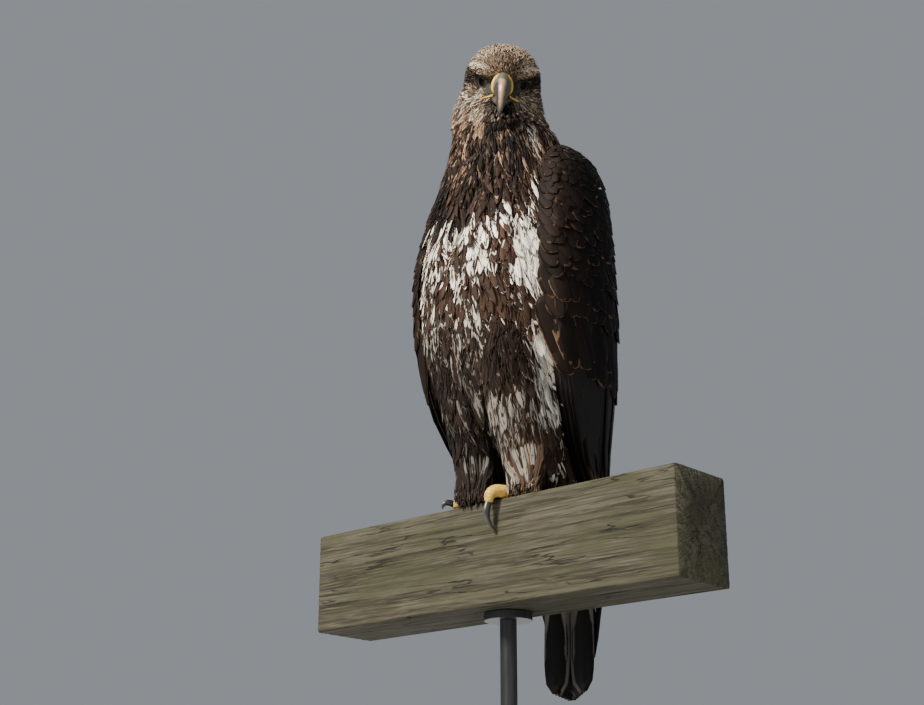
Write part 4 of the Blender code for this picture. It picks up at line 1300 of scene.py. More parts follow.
def rectrices():
    """Each of twelve feathers runs straight down in its own layer, further out and nearer the belly pair by
    pair, with a bend that is half a sine wave of its length."""
    pair = np.repeat(np.arange(6), 2)
    side = np.tile([1, -1], 6)
    out = pair + 0.5
    root = np.stack([side * out * 0.0035, TAIL_Y + 0.0035 - pair * 0.0011, PERCH + 0.02 + 0 * out], 1)
    tip = np.stack([side * out * 0.0036, TAIL_Y + 0.0018 - pair * 0.0007, PERCH - 0.197 + 0.0016 * out], 1)
    path = root[:, None] * (1 - TAIL_SHARES[:, None]) + tip[:, None] * TAIL_SHARES[:, None]
    path[..., 1] += 0.006 * np.sin(TAIL_SHARES * np.pi) * 0.4
    normals = np.zeros_like(path) + np.array([0, 1.0, 0])
    look = look_of(12, 81, lift=0.0, bow=0.07, roll=0.0, sweep=0.0, ragged=0.006)
    look["roll"] = side * 0.05
    tones = plain_marking(path[:, 9], np.random.default_rng(82), BLACKISH * 0.7, GREY * 0.38, 0.88, 0.0)
    points = vanes(path, normals, np.full(12, 0.215), np.full(12, 0.031), TAIL_SHAPE, look)
    return tract(points, np.stack([0.1 + 0.068 * np.arange(12), 0.5 + 0 * out], 1), tones)


def tail_covert(seed, back):
    """Soft feathers over the quills, on the back or on the belly side."""
    rng = np.random.default_rng(seed)
    foot = (TAIL_TOP - PERCH + 0.035) / (TAIL_TOP - TAIL_END)
    roots = rows_of_roots(tail_chart, 0.0, foot, lambda u: 0.016, lambda u: 0.0095, seed)
    roots = roots[(tail_chart.at(*roots.T)[:, 1] > TAIL_Y) == back]
    count = len(roots)
    length = 0.056 * (1 + rng.normal(0, 0.08, count))
    look = look_of(count, seed, lift=0.02, bow=0.2, base=0.0006, sweep=0.1, ragged=0.03)
    edge = BUFF if back else GREY
    return laid(tail_chart, roots, length, np.full(count, 0.017), "plume", straight_down,
                lambda p: plain_marking(p, rng, DARK, edge, 1.0, 0.12, 0.12), look)


coat("tail_feathers", [rectrices()], quill_plumage, "tail", "tail")
coat("coverts_tail", [tail_covert(83, True), tail_covert(84, False)], soft_plumage, "tail")

# %% [markdown]
# On the head the feathers are tiny at the bill and grow towards the nape. They part round the eyes, and the
# lores in front of the eyes are almost bare. A buff crown flecked with brown, a dark stripe behind the eye,
# and a pale cheek streaked with brown: that is the face of a young bald eagle.

# %% Head feathers
def head_heading(points, down, across, normal):
    """Away from the bill, bending towards the ground below, and parting round each eye like a stream.

    An eye adds (11.5 mm / distance) squared times the direction, less twice its part away from the eye.
    """
    place = to_head(points)
    fall = ramp(-0.015, -0.05, place[:, 2])[:, None] * 0.9 + ramp(0.01, 0.06, place[:, 1])[:, None] * 0.5
    way = down + fall * np.array([0, 0, -1.0])
    for eye in EYES.values():
        away = points - eye
        away = away - dot(away, normal) * normal
        far = np.maximum(np.linalg.norm(away, axis=1, keepdims=True), 0.004)
        out = away / far
        way = way + (0.0115 / far) ** 2 * (unit(down) - 2 * dot(unit(down), out) * out)
    return way


def gape_path(side):
    """The corner of the mouth, from the side of the bill back under the eye, in the head's frame."""
    line = np.array([[0.0105, -0.0315, -0.016], [0.0132, -0.0265, -0.0188], [0.0172, -0.02, -0.0208],
                     [0.0222, -0.0135, -0.0219], [0.0272, -0.006, -0.0228]]) * (side, 1, 1)
    hold = np.array([1.0, 0.5, 0, 0, 0])[:, None]
    return line * hold + on_head(line, 0.0004) * (1 - hold)


def bare_face(place):
    """Where the head wears no feathers: the bill's root, the corners of the mouth and the eyes."""
    x, y, z = place.T
    bill = (np.hypot(x / 0.0142, (z + 0.0025) / 0.0148) < 1) & (y < -0.012)
    chin = (np.hypot(x / 0.0118, (z + 0.0205) / 0.0065) < 1) & (y < -0.014)
    bare = bill | chin
    for side in SIDES:
        bare = bare | (gap_to(fine_line(gape_path(side), 33), place) < 0.002)
        bare = bare | (np.linalg.norm(eye_offset(place, side), axis=1) < 0.0129)
    return bare


def lore(place):
    """1 in the middle of the bare patch between bill and eye, falling to 0 round it."""
    x, y, z = place.T
    patch = np.clip(1.9 - 1.7 * np.hypot((y + 0.0165) / 0.014, (z + 0.0065) / 0.0125), 0, 1)
    return patch * (np.abs(x) > 0.006)


def head_length(place):
    """Longer with distance from the bill, more so on the cheeks and nape."""
    z = place[:, 2]
    away = np.linalg.norm(place - np.array([0, -0.028, -0.003]), axis=1)
    length = np.interp(away, [0.012, 0.025, 0.045, 0.07, 0.1], [0.0032, 0.0044, 0.0064, 0.0096, 0.0135])
    longer = 1 + 0.3 * ramp(-0.01, -0.03, z) + 0.5 * ramp(-0.03, -0.046, z)
    return length * longer * (1 - 0.45 * lore(place))


def head_marking(place, rng):
    """Crown buff with dark flecks, forehead browner, a dark stripe behind the eye, pale streaked cheeks, and
    painted shadow of the brow round each eye.
    """
    x, y, z = place.T
    chance = rng.random((len(place), 4))
    forehead = ramp(-0.004, -0.018, y) * ramp(0.0, 0.012, z)
    stripe = ramp(-0.004, 0.006, y) * ramp(0.0145, 0.0095, z - 0.1 * y) * ramp(-0.007, -0.001, z + 0.08 * y)
    ear = ramp(-0.006, 0.006, y) * ramp(0.0, -0.005, z) * ramp(-0.019, -0.012, z)
    cheek = ramp(-0.008, -0.014, z) * ramp(0.01, 0.018, np.abs(x))
    throat = ramp(-0.018, -0.026, z) * ramp(0.024, 0.012, np.abs(x)) * ramp(0.03, 0.01, y)
    nape = ramp(0.035, 0.055, y)
    mane = ramp(-0.024, -0.044, z) * (chance[:, 0] < 0.75)
    brow = blotch(y, z, (0.004, 0.0155), (0.022, 0.0045), 1.5)
    from_eye = np.linalg.norm(np.stack([np.abs(x), y, z], 1) - EYE_IN_HEAD, axis=1)
    # painted shadow: feathers round the eye, above its lower part, are dark brown as the brow's shadow
    socket = ramp(0.0175, 0.014, from_eye) * ramp(-0.012, -0.006, z)
    ground = mixed(BUFF, CREAM, 0.55 * chance[:, 1]) * (0.5 + 0.5 * chance[:, 2:3])
    for tone, share in (
            (BUFF * 0.45, 0.8 * forehead), (CREAM * 0.85, 0.9 * cheek), (BUFF * 0.7, 0.8 * ear),
            (GREY * 0.45, cheek * (chance[:, 3] < 0.35)), (TAN * 0.5, 0.9 * stripe),
            (GREY * 0.14, 0.9 * throat), (TAN, 0.8 * nape), (TAN * 0.8, 0.85 * mane),
            (GREY * 0.09, lore(place)), (CREAM * 1.05, brow), (WARM * 0.8, 0.9 * socket)):
        ground = mixed(ground, tone, share)
    marked = chance[:, 0] < 0.4 + 0.25 * forehead + 0.3 * throat + 0.3 * ear + 0.1 * cheek
    drop = np.where(marked, 0.7 + 0.6 * chance[:, 3], 0.1 * chance[:, 1])
    drop = drop + 0.9 * stripe * (chance[:, 2] < 0.85) + 0.55 * nape - 0.5 * brow + 0.3 * throat
    mark = mixed(DARK * 1.3, BLACKISH * 1.4, 0.6 * stripe + 0.3 * (1 - cheek))
    mark = mixed(mark, WARM * 1.3, 0.55 * cheek * (1 - throat) + 0.3 * forehead)
    return marking_of(ground, mark, ground, drop, 0.0, chance[:, 3])


def head_roots():
    """Rows of roots over the whole head, thinned on the lores and left out where it is bare."""
    rng = np.random.default_rng(91)
    steps = [0, 0.2, 0.5, 0.8, 1]
    roots = rows_of_roots(
        head_chart, 0.0, 1.0, lambda u: np.interp(u, steps, [0.0014, 0.0017, 0.0026, 0.004, 0.0052]),
        lambda u: np.interp(u, steps, [0.0011, 0.0013, 0.0019, 0.0028, 0.0036]), 92, 0.25)
    place = to_head(head_chart.at(*roots.T))
    thin = rng.random(len(roots)) < 0.88 * lore(place)
    hem = -0.047 + rng.normal(0, 0.005, len(roots))
    keep = ~bare_face(place) & (place[:, 2] > hem) & ~thin & on_outside(*roots.T)
    return roots[keep], place[keep]


def head_coat(name, roots, place, seed):
    """Small overlapping feathers over one half of the head."""
    rng = np.random.default_rng(seed)
    length = head_length(place) * (1 + rng.normal(0, 0.12, len(place)))
    width = np.maximum(length * 0.4, 0.0014) * (1 + rng.normal(0, 0.1, len(place)))
    skew = rng.normal(0, 0.14, len(place))
    look = look_of(len(place), seed + 1, lift=0.055, sweep=0.2, ragged=0.07, section=ACROSS_THIN)

    def marking(points):
        return head_marking(to_head(points), rng)

    group = laid(head_chart, roots, length, width, "leaf", head_heading, marking, look, FEW_STATIONS, skew, 4)
    strands = wisps(head_chart, roots, length * 1.5, head_heading, marking, seed + 7, 1, 0.0007, 0.0005)
    return coat(name, [group, strands], head_plumage, "head")


roots_of_head, place_of_head = head_roots()
on_crown = place_of_head[:, 2] > 0.0
head_coat("feathers_crown", roots_of_head[on_crown], place_of_head[on_crown], 93)
head_coat("feathers_face", roots_of_head[~on_crown], place_of_head[~on_crown], 95)


def throat_chart():
    """The hollow between chin and neck: a grid in the head's frame, met by rays that run forward from within.

    The step from the chin down to the collar of the neck is eased into a slope, so that feathers bridge it.
    """
    z, x = np.meshgrid(np.linspace(-0.02, -0.066, 50), np.linspace(-0.036, 0.036, 60), indexing="ij")
    start = from_head(np.stack([x, 0 * x + 0.02, z], 2).reshape(-1, 3)).reshape(x.shape + (3,))
    way = np.broadcast_to(HEAD_TURN @ np.array([0, -1.0, 0]), start.shape)
    return felt(probe(["head", "neck", "trunk"], start, way, 0.085), start, way, 14, False, 0.0015)


def throat_marking(points, rng):
    """Nearly black under the chin as painted shadow, brown at its sides, and grey white towards the left of
    the neck.
    """
    x, _, z = to_head(points).T
    chance = rng.random((len(points), 4))
    pale = ramp(0.008, 0.022, x) * ramp(-0.024, -0.034, z) * (chance[:, 3] < 0.5)
    # painted shadow: the middle under the chin is darkened, with near black marks, as the shadow under the
    # bill
    painted_chin_shadow = ramp(-0.02, -0.01, x) * ramp(0.03, 0.02, x)
    ground = mixed(TAN * 0.9, BUFF * 0.8, chance[:, 0])
    ground = mixed(ground, GREY * 0.8, pale * (chance[:, 1] < 0.5))
    drop = np.clip(0.35 + 0.7 * painted_chin_shadow + 0.4 * (chance[:, 2] - 0.5) - 0.3 * pale, 0, 1.6)
    mark = mixed(WARM, BLACKISH, 0.4 + 0.6 * painted_chin_shadow)
    fringe = mixed(ground, WARM, painted_chin_shadow)
    return marking_of(mixed(ground, WARM * 0.8, 0.9 * painted_chin_shadow), mark, fringe, drop, 0.0, chance[:, 3])


def throat_coat():
    """Small feathers that fall from the chin over the collar of the neck."""
    rng = np.random.default_rng(97)
    chart = throat_chart()
    roots = rows_of_roots(
        chart, 0.0, 0.82, lambda u: 0.0022 + 0.0014 * u, lambda u: 0.002 + 0.001 * u, 98, 0.3)
    place = to_head(chart.at(*roots.T))
    keep = ~bare_face(place) & (np.abs(place[:, 0]) < 0.026) & (place[:, 2] < -0.023)
    roots, z = roots[keep], place[keep, 2]
    length = np.interp(z, [-0.06, -0.04, -0.022], [0.017, 0.012, 0.007]) * (1 + rng.normal(0, 0.12, len(z)))
    skew = rng.normal(0, 0.14, len(z))
    look = look_of(len(z), 99, lift=0.1, sweep=0.2, ragged=0.07, section=ACROSS_THIN)

    def marking(points):
        return throat_marking(points, rng)

    group = laid(chart, roots, length, length * 0.27, "hackle", head_heading, marking, look, FEW_STATIONS,
                 skew, 4)
    strands = wisps(chart, roots, length * 1.3, head_heading, marking, 100, 1, 0.0012, 0.0007)
    return coat("feathers_throat", [group, strands], head_plumage, "head")


throat_coat()

# %% [markdown]
# Under the coat lies one skin. The solids of the head, neck, trunk, thighs and wings are copied, fused into
# a single surface, smoothed and drawn inwards by the depth of the coat. It is bare only round the eyes and
# bill.

# %% Skin
SKIN_SOLIDS = ["head", "neck", "trunk", "thigh_left", "thigh_right", "wing_left", "wing_right"]
SKIN_CELL = 0.0025


def coat_depth(points):
    """How far the skin lies inside the solids: most on the breast, hardly at all at eyes and bill."""
    place = to_head(points)
    depth = np.interp(points[:, 2] - PERCH, [0.0, 0.05, 0.36, 0.44, 0.5],
                      [0.005, 0.0072, 0.0068, 0.0045, 0.0032])
    near = np.linalg.norm(place - np.array([0, -0.024, -0.008]), axis=1) - 0.016
    for side in SIDES:
        near = np.minimum(near, np.linalg.norm(eye_offset(place, side), axis=1) - 0.0115)
    return np.clip(np.minimum(depth, 0.0004 + 0.16 * np.maximum(near, 0)), 0.0004, None)


def skin_tones(points):
    """The coat's own colours, the two of each feather blended by the size of its drop, darkened as painted
    shade under the coat, and dark brown as painted shade under the wings.
    """
    rng = np.random.default_rng(5)
    place = to_head(points)
    colours, pattern = body_marking(points, rng)
    # painted shade: the skin is darker than the feathers over it
    body = mixed(colours["ground"] * 0.4, colours["mark"], np.clip(pattern[:, 0] * 1.1, 0, 1)) * 0.7
    # painted shade: under the folded wings the skin is dark brown
    body = mixed(body, DARK, under_wing(points, 0) * 1.0)
    colours, pattern = head_marking(place, rng)
    # painted shade: the head's skin has its feathers' pale ground dimmed
    head = mixed(colours["ground"] * 0.6, colours["mark"], np.clip(pattern[:, 0], 0, 1))
    head = mixed(head, np.array([0.024, 0.025, 0.016]), np.clip(lore(place) * 1.6, 0, 1))
    for side in SIDES:
        ring = np.linalg.norm(eye_offset(place, side), axis=1)
        head = mixed(head, np.array([0.02, 0.017, 0.013]), ramp(0.015, 0.012, ring) * 0.85)
    return mixed(body, head, ramp(-0.062, -0.046, place[:, 2]) * ramp(0.4, 0.44, points[:, 2] - PERCH))


def fused_solids():
    """The flesh solids fused into one mesh by a voxel remesh, smoothed, and cut finer round the eyes."""
    shape = bmesh.new()
    for name in SKIN_SOLIDS:
        shape.from_mesh(nodes[name].data)
    rough = bpy.data.meshes.new("skin_rough")
    shape.to_mesh(rough)
    shape.free()
    piece = bpy.data.objects.new("skin_rough", rough)
    bpy.context.scene.collection.objects.link(piece)
    fuse = piece.modifiers.new("fuse", "REMESH")
    fuse.mode = "VOXEL"
    fuse.voxel_size = SKIN_CELL
    mesh = bpy.data.meshes.new_from_object(piece.evaluated_get(bpy.context.evaluated_depsgraph_get()))
    bpy.data.objects.remove(piece)
    mesh.name = "skin"
    shape = bmesh.new()
    shape.from_mesh(mesh)
    for _ in range(3):
        bmesh.ops.smooth_vert(shape, verts=shape.verts, factor=0.5, use_axis_x=True, use_axis_y=True,
                              use_axis_z=True)
    centres = [Vector(EYES[side] + HEAD_TURN @ (GAZE[side] * 0.006)) for side in SIDES]
    for reach in (0.017, 0.0155):
        edges = [e for e in shape.edges if min((e.verts[0].co - c).length for c in centres) < reach]
        bmesh.ops.subdivide_edges(shape, edges=edges, cuts=1, use_grid_fill=True)
    shape.to_mesh(mesh)
    shape.free()
    return mesh


def skin_finish():
    f = Finish("skin_under_feathers")
    grain = f.noise(f.place, 900.0, 3.0, 0.6)
    return f.done(f.tinted(f.own("tone", "Color"), grain * 0.6 + 0.65), grain, 0.4, 0.0004, Roughness=0.7,
                  Specular_IOR_Level=0.15)


def skin_piece():
    """The fused solids with every point moved inwards along its normal by the coat's depth, then carved."""
    mesh = fused_solids()
    count = len(mesh.vertices)
    points, normals = np.empty(count * 3), np.empty(count * 3)
    mesh.vertices.foreach_get("co", points)
    mesh.vertices.foreach_get("normal", normals)
    points, normals = points.reshape(-1, 3), normals.reshape(-1, 3)
    tones = np.insert(skin_tones(points), 3, 1.0, 1)
    points = carved(points - normals * coat_depth(points)[:, None])
    mesh.vertices.foreach_set("co", points.ravel())
    mesh.attributes.new("tone", "FLOAT_COLOR", "POINT").data.foreach_set("color", tones.ravel())
    mesh.polygons.foreach_set("use_smooth", np.ones(len(mesh.polygons), bool))
    mesh.materials.clear()
    mesh.materials.append(skin_finish())
    return shown("skin", mesh, "skin", *SKIN_SOLIDS)


skin_piece()

# %% [markdown]
# Small smooth parts are made as sheets wound round a path: rows of rings, one ring to a station. Each ring is
# closed, and each end runs into a point. The same helper makes bill, lids, lips, toes and claws.

# %% Wound surfaces
def ring_quads(index):
    """Quads between each ring of points and the next one."""
    here, ahead = index[:-1], index[1:]
    return np.stack([here, np.roll(here, -1, 1), np.roll(ahead, -1, 1), ahead], -1).reshape(-1, 4)


def wound_mesh(name, rings, finish, values):
    """A closed surface of rings of points, rows by columns, with a fan to a pole point at each end.

    The map holds the share along the rows and the share round the ring. Values are numbers at the points.
    """
    rows, columns = rings.shape[:2]
    points = np.concatenate([rings.reshape(-1, 3), [rings[0].mean(0), rings[-1].mean(0)]])
    index = np.arange(rows * columns).reshape(rows, columns)
    start = np.stack([np.roll(index[0], -1), index[0], np.full(columns, rows * columns)], 1)
    end = np.stack([index[-1], np.roll(index[-1], -1), np.full(columns, rows * columns + 1)], 1)
    faces = [ring_quads(index), start, end]
    if volume_sign(points, faces) < 0:
        faces = [part[:, ::-1] for part in faces]
    along = np.concatenate([np.repeat(np.arange(rows) / (rows - 1), columns), [0.0, 1.0]])
    around = np.concatenate([np.tile(np.arange(columns) / columns, rows), [0.5, 0.5]])
    pairs = []
    for part in faces:
        turn = around[part]
        widest = np.where(part < rows * columns, turn, 0).max(1, keepdims=True)
        turn = np.where((widest > 0.75) & (turn < 0.25), turn + 1, turn)
        pairs.append(np.stack([along[part], turn], -1).reshape(-1, 2))
    spread = {word: np.append(data, [data.flat[0], data.flat[-1]]) for word, data in values.items()}
    return smooth_mesh(name, points, faces, finish, {"wound": np.concatenate(pairs)}, spread)


def wound_piece(name, rings, finish, slot, *solids, **values):
    return shown(name, wound_mesh(name, rings, finish, values), slot, *solids)


def curve_through(stations, count):
    """A smooth curve through the rows of a table: each number follows a cubic between rows, with the slopes
    of the chords on either side."""
    table = np.asarray(stations, float)
    slope = np.gradient(table, axis=0)
    t = np.linspace(0, len(table) - 1, count)
    i = np.minimum(t.astype(int), len(table) - 2)
    f = (t - i)[:, None]
    a, b, c, d = table[i], table[i + 1], slope[i], slope[i + 1]
    here, there = 2 * f**3 - 3 * f**2 + 1, 3 * f**2 - 2 * f**3
    return here * a + (f**3 - 2 * f**2 + f) * c + there * b + (f**3 - f**2) * d


def rings_along(path, across, over, half_wide, half_high, outline):
    """A ring at each point of a path, across and over being its two directions. The outline gives a pair of
    factors for each angle round the ring, from over at 0."""
    x, z = outline
    return path[:, None] + across[:, None] * (x * half_wide[:, None])[..., None] + over[:, None] * (
        z * half_high[:, None])[..., None]


print("a curve through 3 rows in 5 steps:", curve_through([(0, 0), (1, 1), (2, 0)], 5)[:, 1])

# %% [markdown]
# The eye is a glassy ball. In a bird of this age the iris is still dark brown, greyer towards its rim, with a
# big black pupil. The clear cornea bulges a little in front of it. A thin dark rim of lid, pale at its lower
# edge, closes round the ball.

# %% Eyes and lids
def eye_finish(side):
    """Colour by the angle from the gaze: a black pupil to 23 degrees, and an iris streaked in spokes."""
    f = Finish("eye_" + SIDES[side])
    share, around, _ = f.split(f.node("ShaderNodeUVMap", uv_map="wound"))
    angle = around * (2 * math.pi)
    degrees = share * 180.0
    fibre = f.noise(f.joined(share * 9.0, angle.step("SINE"), angle.step("COSINE")), 14.0, 3.0, 0.6)
    inner = f.mix(fibre, (0.003, 0.002, 0.002), (0.014, 0.009, 0.006))
    outer = f.mix(fibre, (0.03, 0.026, 0.02), (0.09, 0.08, 0.062))
    iris = f.mix(f.between(degrees, 27, 40), inner, outer)
    iris = f.mix(f.between(degrees, 41, 45), iris, (0.004, 0.004, 0.003))
    colour = f.mix(f.between(degrees, 22.5, 24.5), (0.0005, 0.0005, 0.0005), iris)
    return f.done(colour, Roughness=0.25, Specular_IOR_Level=0.0, Coat_Weight=0.3, Coat_Roughness=0.02,
                  Coat_IOR=1.36)


def eye_piece(side):
    """Rings at angles from the gaze: the radius is the ball's, plus a bulge of 0.7 mm over the cornea."""
    off = np.linspace(0.5, 179.5, 90)
    around = round_angles(96)
    gaze = HEAD_TURN @ GAZE[side]
    first = unit(np.cross(gaze, UP))
    second = np.cross(gaze, first)
    radius = EYE_RADIUS - 0.0004 + 0.0007 * ramp(38, 10, off)
    ray = np.radians(off)[:, None, None]
    ring = first * np.cos(around)[:, None] + second * np.sin(around)[:, None]
    way = gaze * np.cos(ray) + ring[None] * np.sin(ray)
    rings = EYES[side] + way * radius[:, None, None]
    wound_piece("eyeball_" + SIDES[side], rings, eye_finish(side), "eye", "eye_" + SIDES[side])


def lid_finish():
    f = Finish("eyelid")
    grain = f.noise(f.place, 1500.0, 3.0, 0.6)
    shade = f.mix(grain, (0.01, 0.009, 0.007), (0.028, 0.024, 0.018))
    return f.done(f.mix(f.own("pale"), shade, (0.085, 0.078, 0.06)), grain, 0.5, 0.0002, Roughness=0.6,
                  Specular_IOR_Level=0.15)


def lid_piece(side, finish):
    """A rounded rim that follows the lid's angle round the eyeball, thicker above than below."""
    rows, columns = 120, 20
    around = round_angles(rows)
    upward, forward = eye_axes(side)
    ray = upward * np.cos(around)[:, None] + forward * np.sin(around)[:, None]
    turned = (np.degrees(around) + 180) % 360 - 180
    off = np.radians(lid_angle(turned))[:, None]
    out = GAZE[side] * np.cos(off) + ray * np.sin(off)
    along = -GAZE[side] * np.sin(off) + ray * np.cos(off)
    thick = 0.00055 + 0.0004 * np.exp(-((turned / 70) ** 2))
    section = round_angles(columns)
    rings = (EYE_IN_HEAD * (side, 1, 1) + out * (EYE_RADIUS - 0.0001))[:, None] + (
        out[:, None] * (np.cos(section) * 0.8)[:, None] + along[:, None] * (np.sin(section) * 1.25)[:, None]
    ) * thick[:, None, None]
    below = np.exp(-(((np.abs(turned) - 150) / 60) ** 2))[:, None]
    pale = below * np.exp(-((np.sin(section) - 0.5) / 0.5) ** 2)
    points = from_head(rings).reshape(-1, 3)
    index = np.arange(rows * columns).reshape(rows, columns)
    quads = ring_quads(np.concatenate([index, index[:1]]))
    if volume_sign(points - points.mean(0), [quads]) < 0:
        quads = quads[:, ::-1]
    name = "eyelids_" + SIDES[side]
    shown(name, smooth_mesh(name, points, [quads], finish, {}, {"pale": pale}), "skin")


eyelid = lid_finish()
for side in SIDES:
    eye_piece(side)
    lid_piece(side, eyelid)
print("eye opening across, mm:", round(2000 * EYE_RADIUS * math.sin(math.radians(OPENING)), 1))

# %% [markdown]
# The upper bill is a deep hook. Its root is wrapped in the cere, bare yellow skin with an oval nostril on each
# side, still smudged with grey at this age. The horn beyond is slate at the sides, with a paler pinkish ridge
# that is partly its own colour and partly a painted highlight, and it darkens to the tip. The narrow lower
# bill closes inside it, and yellow lips run back to under the eyes.

# %% Bill, cere and lips
UPPER_BILL = [
    (-0.018, -0.004, 0.0125, 0.0128), (-0.03, -0.003, 0.012, 0.0128), (-0.042, -0.0048, 0.0098, 0.0122),
    (-0.053, -0.0105, 0.0077, 0.0104), (-0.06, -0.02, 0.0056, 0.0078), (-0.0622, -0.031, 0.0034, 0.0045),
    (-0.0605, -0.04, 0.0007, 0.0009),
]
LOWER_BILL = [
    (-0.012, -0.022, 0.011, 0.006), (-0.028, -0.0222, 0.0098, 0.0056), (-0.041, -0.0232, 0.0068, 0.0042),
    (-0.049, -0.0245, 0.0032, 0.002),
]
BILL_ROWS, BILL_COLUMNS = 150, 72
CERE_SHARE = 6 / 15
CERE_ROWS = int(round(CERE_SHARE * BILL_ROWS)) + 3


def bill_rings(stations, count, columns, egg, ridge):
    """Rings square to the bill's curve: wider below than above by egg, and drawn up to a ridge on top."""
    rows = curve_through(stations, count)
    path = np.stack([0 * rows[:, 0], rows[:, 0], rows[:, 1]], 1)
    ahead = unit(np.gradient(path, axis=0))
    across = np.zeros_like(path) + np.array([1.0, 0, 0])
    over = unit(np.cross(ahead, across))
    over = over * np.sign(over[0, 2])
    angle = round_angles(columns)
    x = np.sign(np.sin(angle)) * np.abs(np.sin(angle)) ** 0.9 * (1 - egg * np.cos(angle))
    z = np.sign(np.cos(angle)) * np.abs(np.cos(angle)) ** 0.9
    z = z + ridge * np.exp(-((np.minimum(angle, 2 * np.pi - angle) / 0.35) ** 2))
    return rings_along(path, across, over, rows[:, 2], rows[:, 3], (x, z))


def horn_finish(name, base, ridge, tip):
    """Growth lines across the horn, streaks along it, a paler ridge on top that is partly a painted highlight,
    and a darker tip.
    """
    f = Finish(name)
    along, around, _ = f.split(f.node("ShaderNodeUVMap", uv_map="wound"))
    angle = around * (2 * math.pi)
    top = angle.step("COSINE")
    cloud = f.noise(f.place, 260.0, 3.0, 0.55)
    streak = f.noise(f.joined(along * 3.0, top * 14.0, angle.step("SINE") * 14.0), 1.0, 3.0, 0.6)
    lines = f.noise(f.joined(along * 60.0, cloud), 1.0)
    colour = f.mix(streak, np.array(base) * 0.6, np.array(base) * 1.5)
    # partly painted highlight: where the horn faces up it is paler
    colour = f.mix(f.between(top + (cloud - 0.5) * 0.5, 0.66, 0.98) * 0.85, colour, ridge)
    colour = f.mix(f.between(along + (streak - 0.5) * 0.25, 0.5, 0.8), colour, tip)
    return f.done(colour, streak * 0.6 + lines * 0.5, 0.25, 0.0003, Roughness=0.36, Coat_Weight=0.25,
                  Coat_Roughness=0.25)


def cere_finish():
    """Yellow with fine pores, smudged grey by the piece's own greyness, and nearly black in the nostrils as
    painted shade.
    """
    f = Finish("cere_skin")
    smudge = f.noise(f.place, 190.0, 4.0, 0.6)
    pores = f.noise(f.place, 2200.0, 2.0, 0.6)
    yellow = f.mix(pores, (0.5, 0.3, 0.03), (0.8, 0.52, 0.085))
    grey = f.between(f.own("grey") + (smudge - 0.5) * 1.1, 0.25, 0.8)
    # painted shade: the nostrils are nearly black
    colour = f.mix(f.own("hole"), f.mix(grey, yellow, (0.075, 0.071, 0.042)), (0.008, 0.006, 0.005))
    return f.done(colour, pores, 0.35, 0.0002, Roughness=0.42, Subsurface_Weight=0.08,
                  Subsurface_Radius=(0.002, 0.001, 0.0005))


def cere_piece(rings, finish):
    """The bill's first rings, swollen over the horn, with a nostril: a slanting slot with a raised lip."""
    angle = round_angles(BILL_COLUMNS)
    swell = np.full(CERE_ROWS, 0.0004)
    swell[-4:] = [0.0003, 0.0002, 0.0, -0.0003]
    middle = rings.mean(1, keepdims=True)
    rings = rings + unit(rings - middle) * swell[:, None, None]
    share = np.linspace(0, 1, CERE_ROWS)[:, None]
    from_top = np.minimum(angle, 2 * np.pi - angle)[None]
    gap = np.hypot((share - 0.62 - 0.18 * (from_top - 1.15)) / 0.115, (from_top - 1.15) / 0.27)
    nostril = ramp(1.15, 0.75, gap)
    lip = np.exp(-(((gap - 1.35) / 0.3) ** 2))
    rings = rings + unit(rings - middle) * (0.0004 * lip - 0.0022 * nostril)[..., None]
    yellow_to = 0.4 + 0.24 * ramp(0.35, 0.9, from_top)
    grey = 0.1 + 0.9 * np.maximum(ramp(0.0, 0.22, share - yellow_to), 0.9 * ramp(0.62, 0.34, from_top))
    wound_piece("cere_skin", from_head(rings), finish, "cere", "cere", grey=grey, hole=nostril)


def lips(side, finish):
    """Two soft yellow lips, one over the other, along the corner of the mouth."""
    path = curve_through(gape_path(side), 60)
    ahead = unit(np.gradient(path, axis=0))
    out = unit(np.cross(ahead, UP) * -side)
    over = np.cross(out, ahead)
    over = over * np.sign(over[:, 2:3])
    angle = round_angles(24)
    thick = 0.0009 * np.sqrt(np.clip(1 - np.linspace(0, 1, 60) ** 3, 0.02, 1))
    outline = np.sin(angle) * (1 - 0.55 * np.exp(-(((angle - np.pi / 2) / 0.3) ** 2))), np.cos(angle)
    rings = rings_along(path + out * 0.0003, out, over, thick * 0.9, thick * 1.05, outline)
    grey = np.linspace(0.1, 0.35, 60)[:, None] + 0 * angle
    wound_piece("lips_" + SIDES[side], from_head(rings), finish, "cere", grey=grey, hole=0 * grey)


upper = bill_rings(UPPER_BILL, BILL_ROWS, BILL_COLUMNS, 0.14, 0.045)
lower = bill_rings(LOWER_BILL, 80, 60, -0.1, 0.0)
yellow_skin = cere_finish()
horn = horn_finish("horn", (0.022, 0.019, 0.016), (0.37, 0.235, 0.135), (0.035, 0.025, 0.02))
horn_below = horn_finish("horn_below", (0.045, 0.042, 0.03), (0.07, 0.06, 0.04), (0.05, 0.045, 0.035))
cere_piece(upper[:CERE_ROWS], yellow_skin)
wound_piece("horn_upper", from_head(upper[CERE_ROWS - 3:]), horn, "horn", "bill_upper")
wound_piece("horn_lower", from_head(lower), horn_below, "horn", "bill_lower")
for side in SIDES:
    lips(side, yellow_skin)

# %% [markdown]
# A perched eagle's toes spread over the timber, and the hind toe grips behind. Here only the left inner toe
# curls over the front edge, and the other claws rest on top. The skin is yellow, with broad plates along
# the top of each toe and small pebbled scales at the sides. The claws are black horn, deep at the root and
# strongly hooked.

# %% Feet and claws
FEET = {1: (0.044, 0.001), -1: (-0.031, 0.0)}
HIND_TURN = {1: 188.0, -1: 164.0}
FRONT_EDGE = 0.0445
CLAW_REACH = 0.013
FRONT_TOES = {"inner": (-24, 1.05), "middle": (3, 1.0), "outer": (31, 0.92)}
PLATE_PITCH = 0.0031


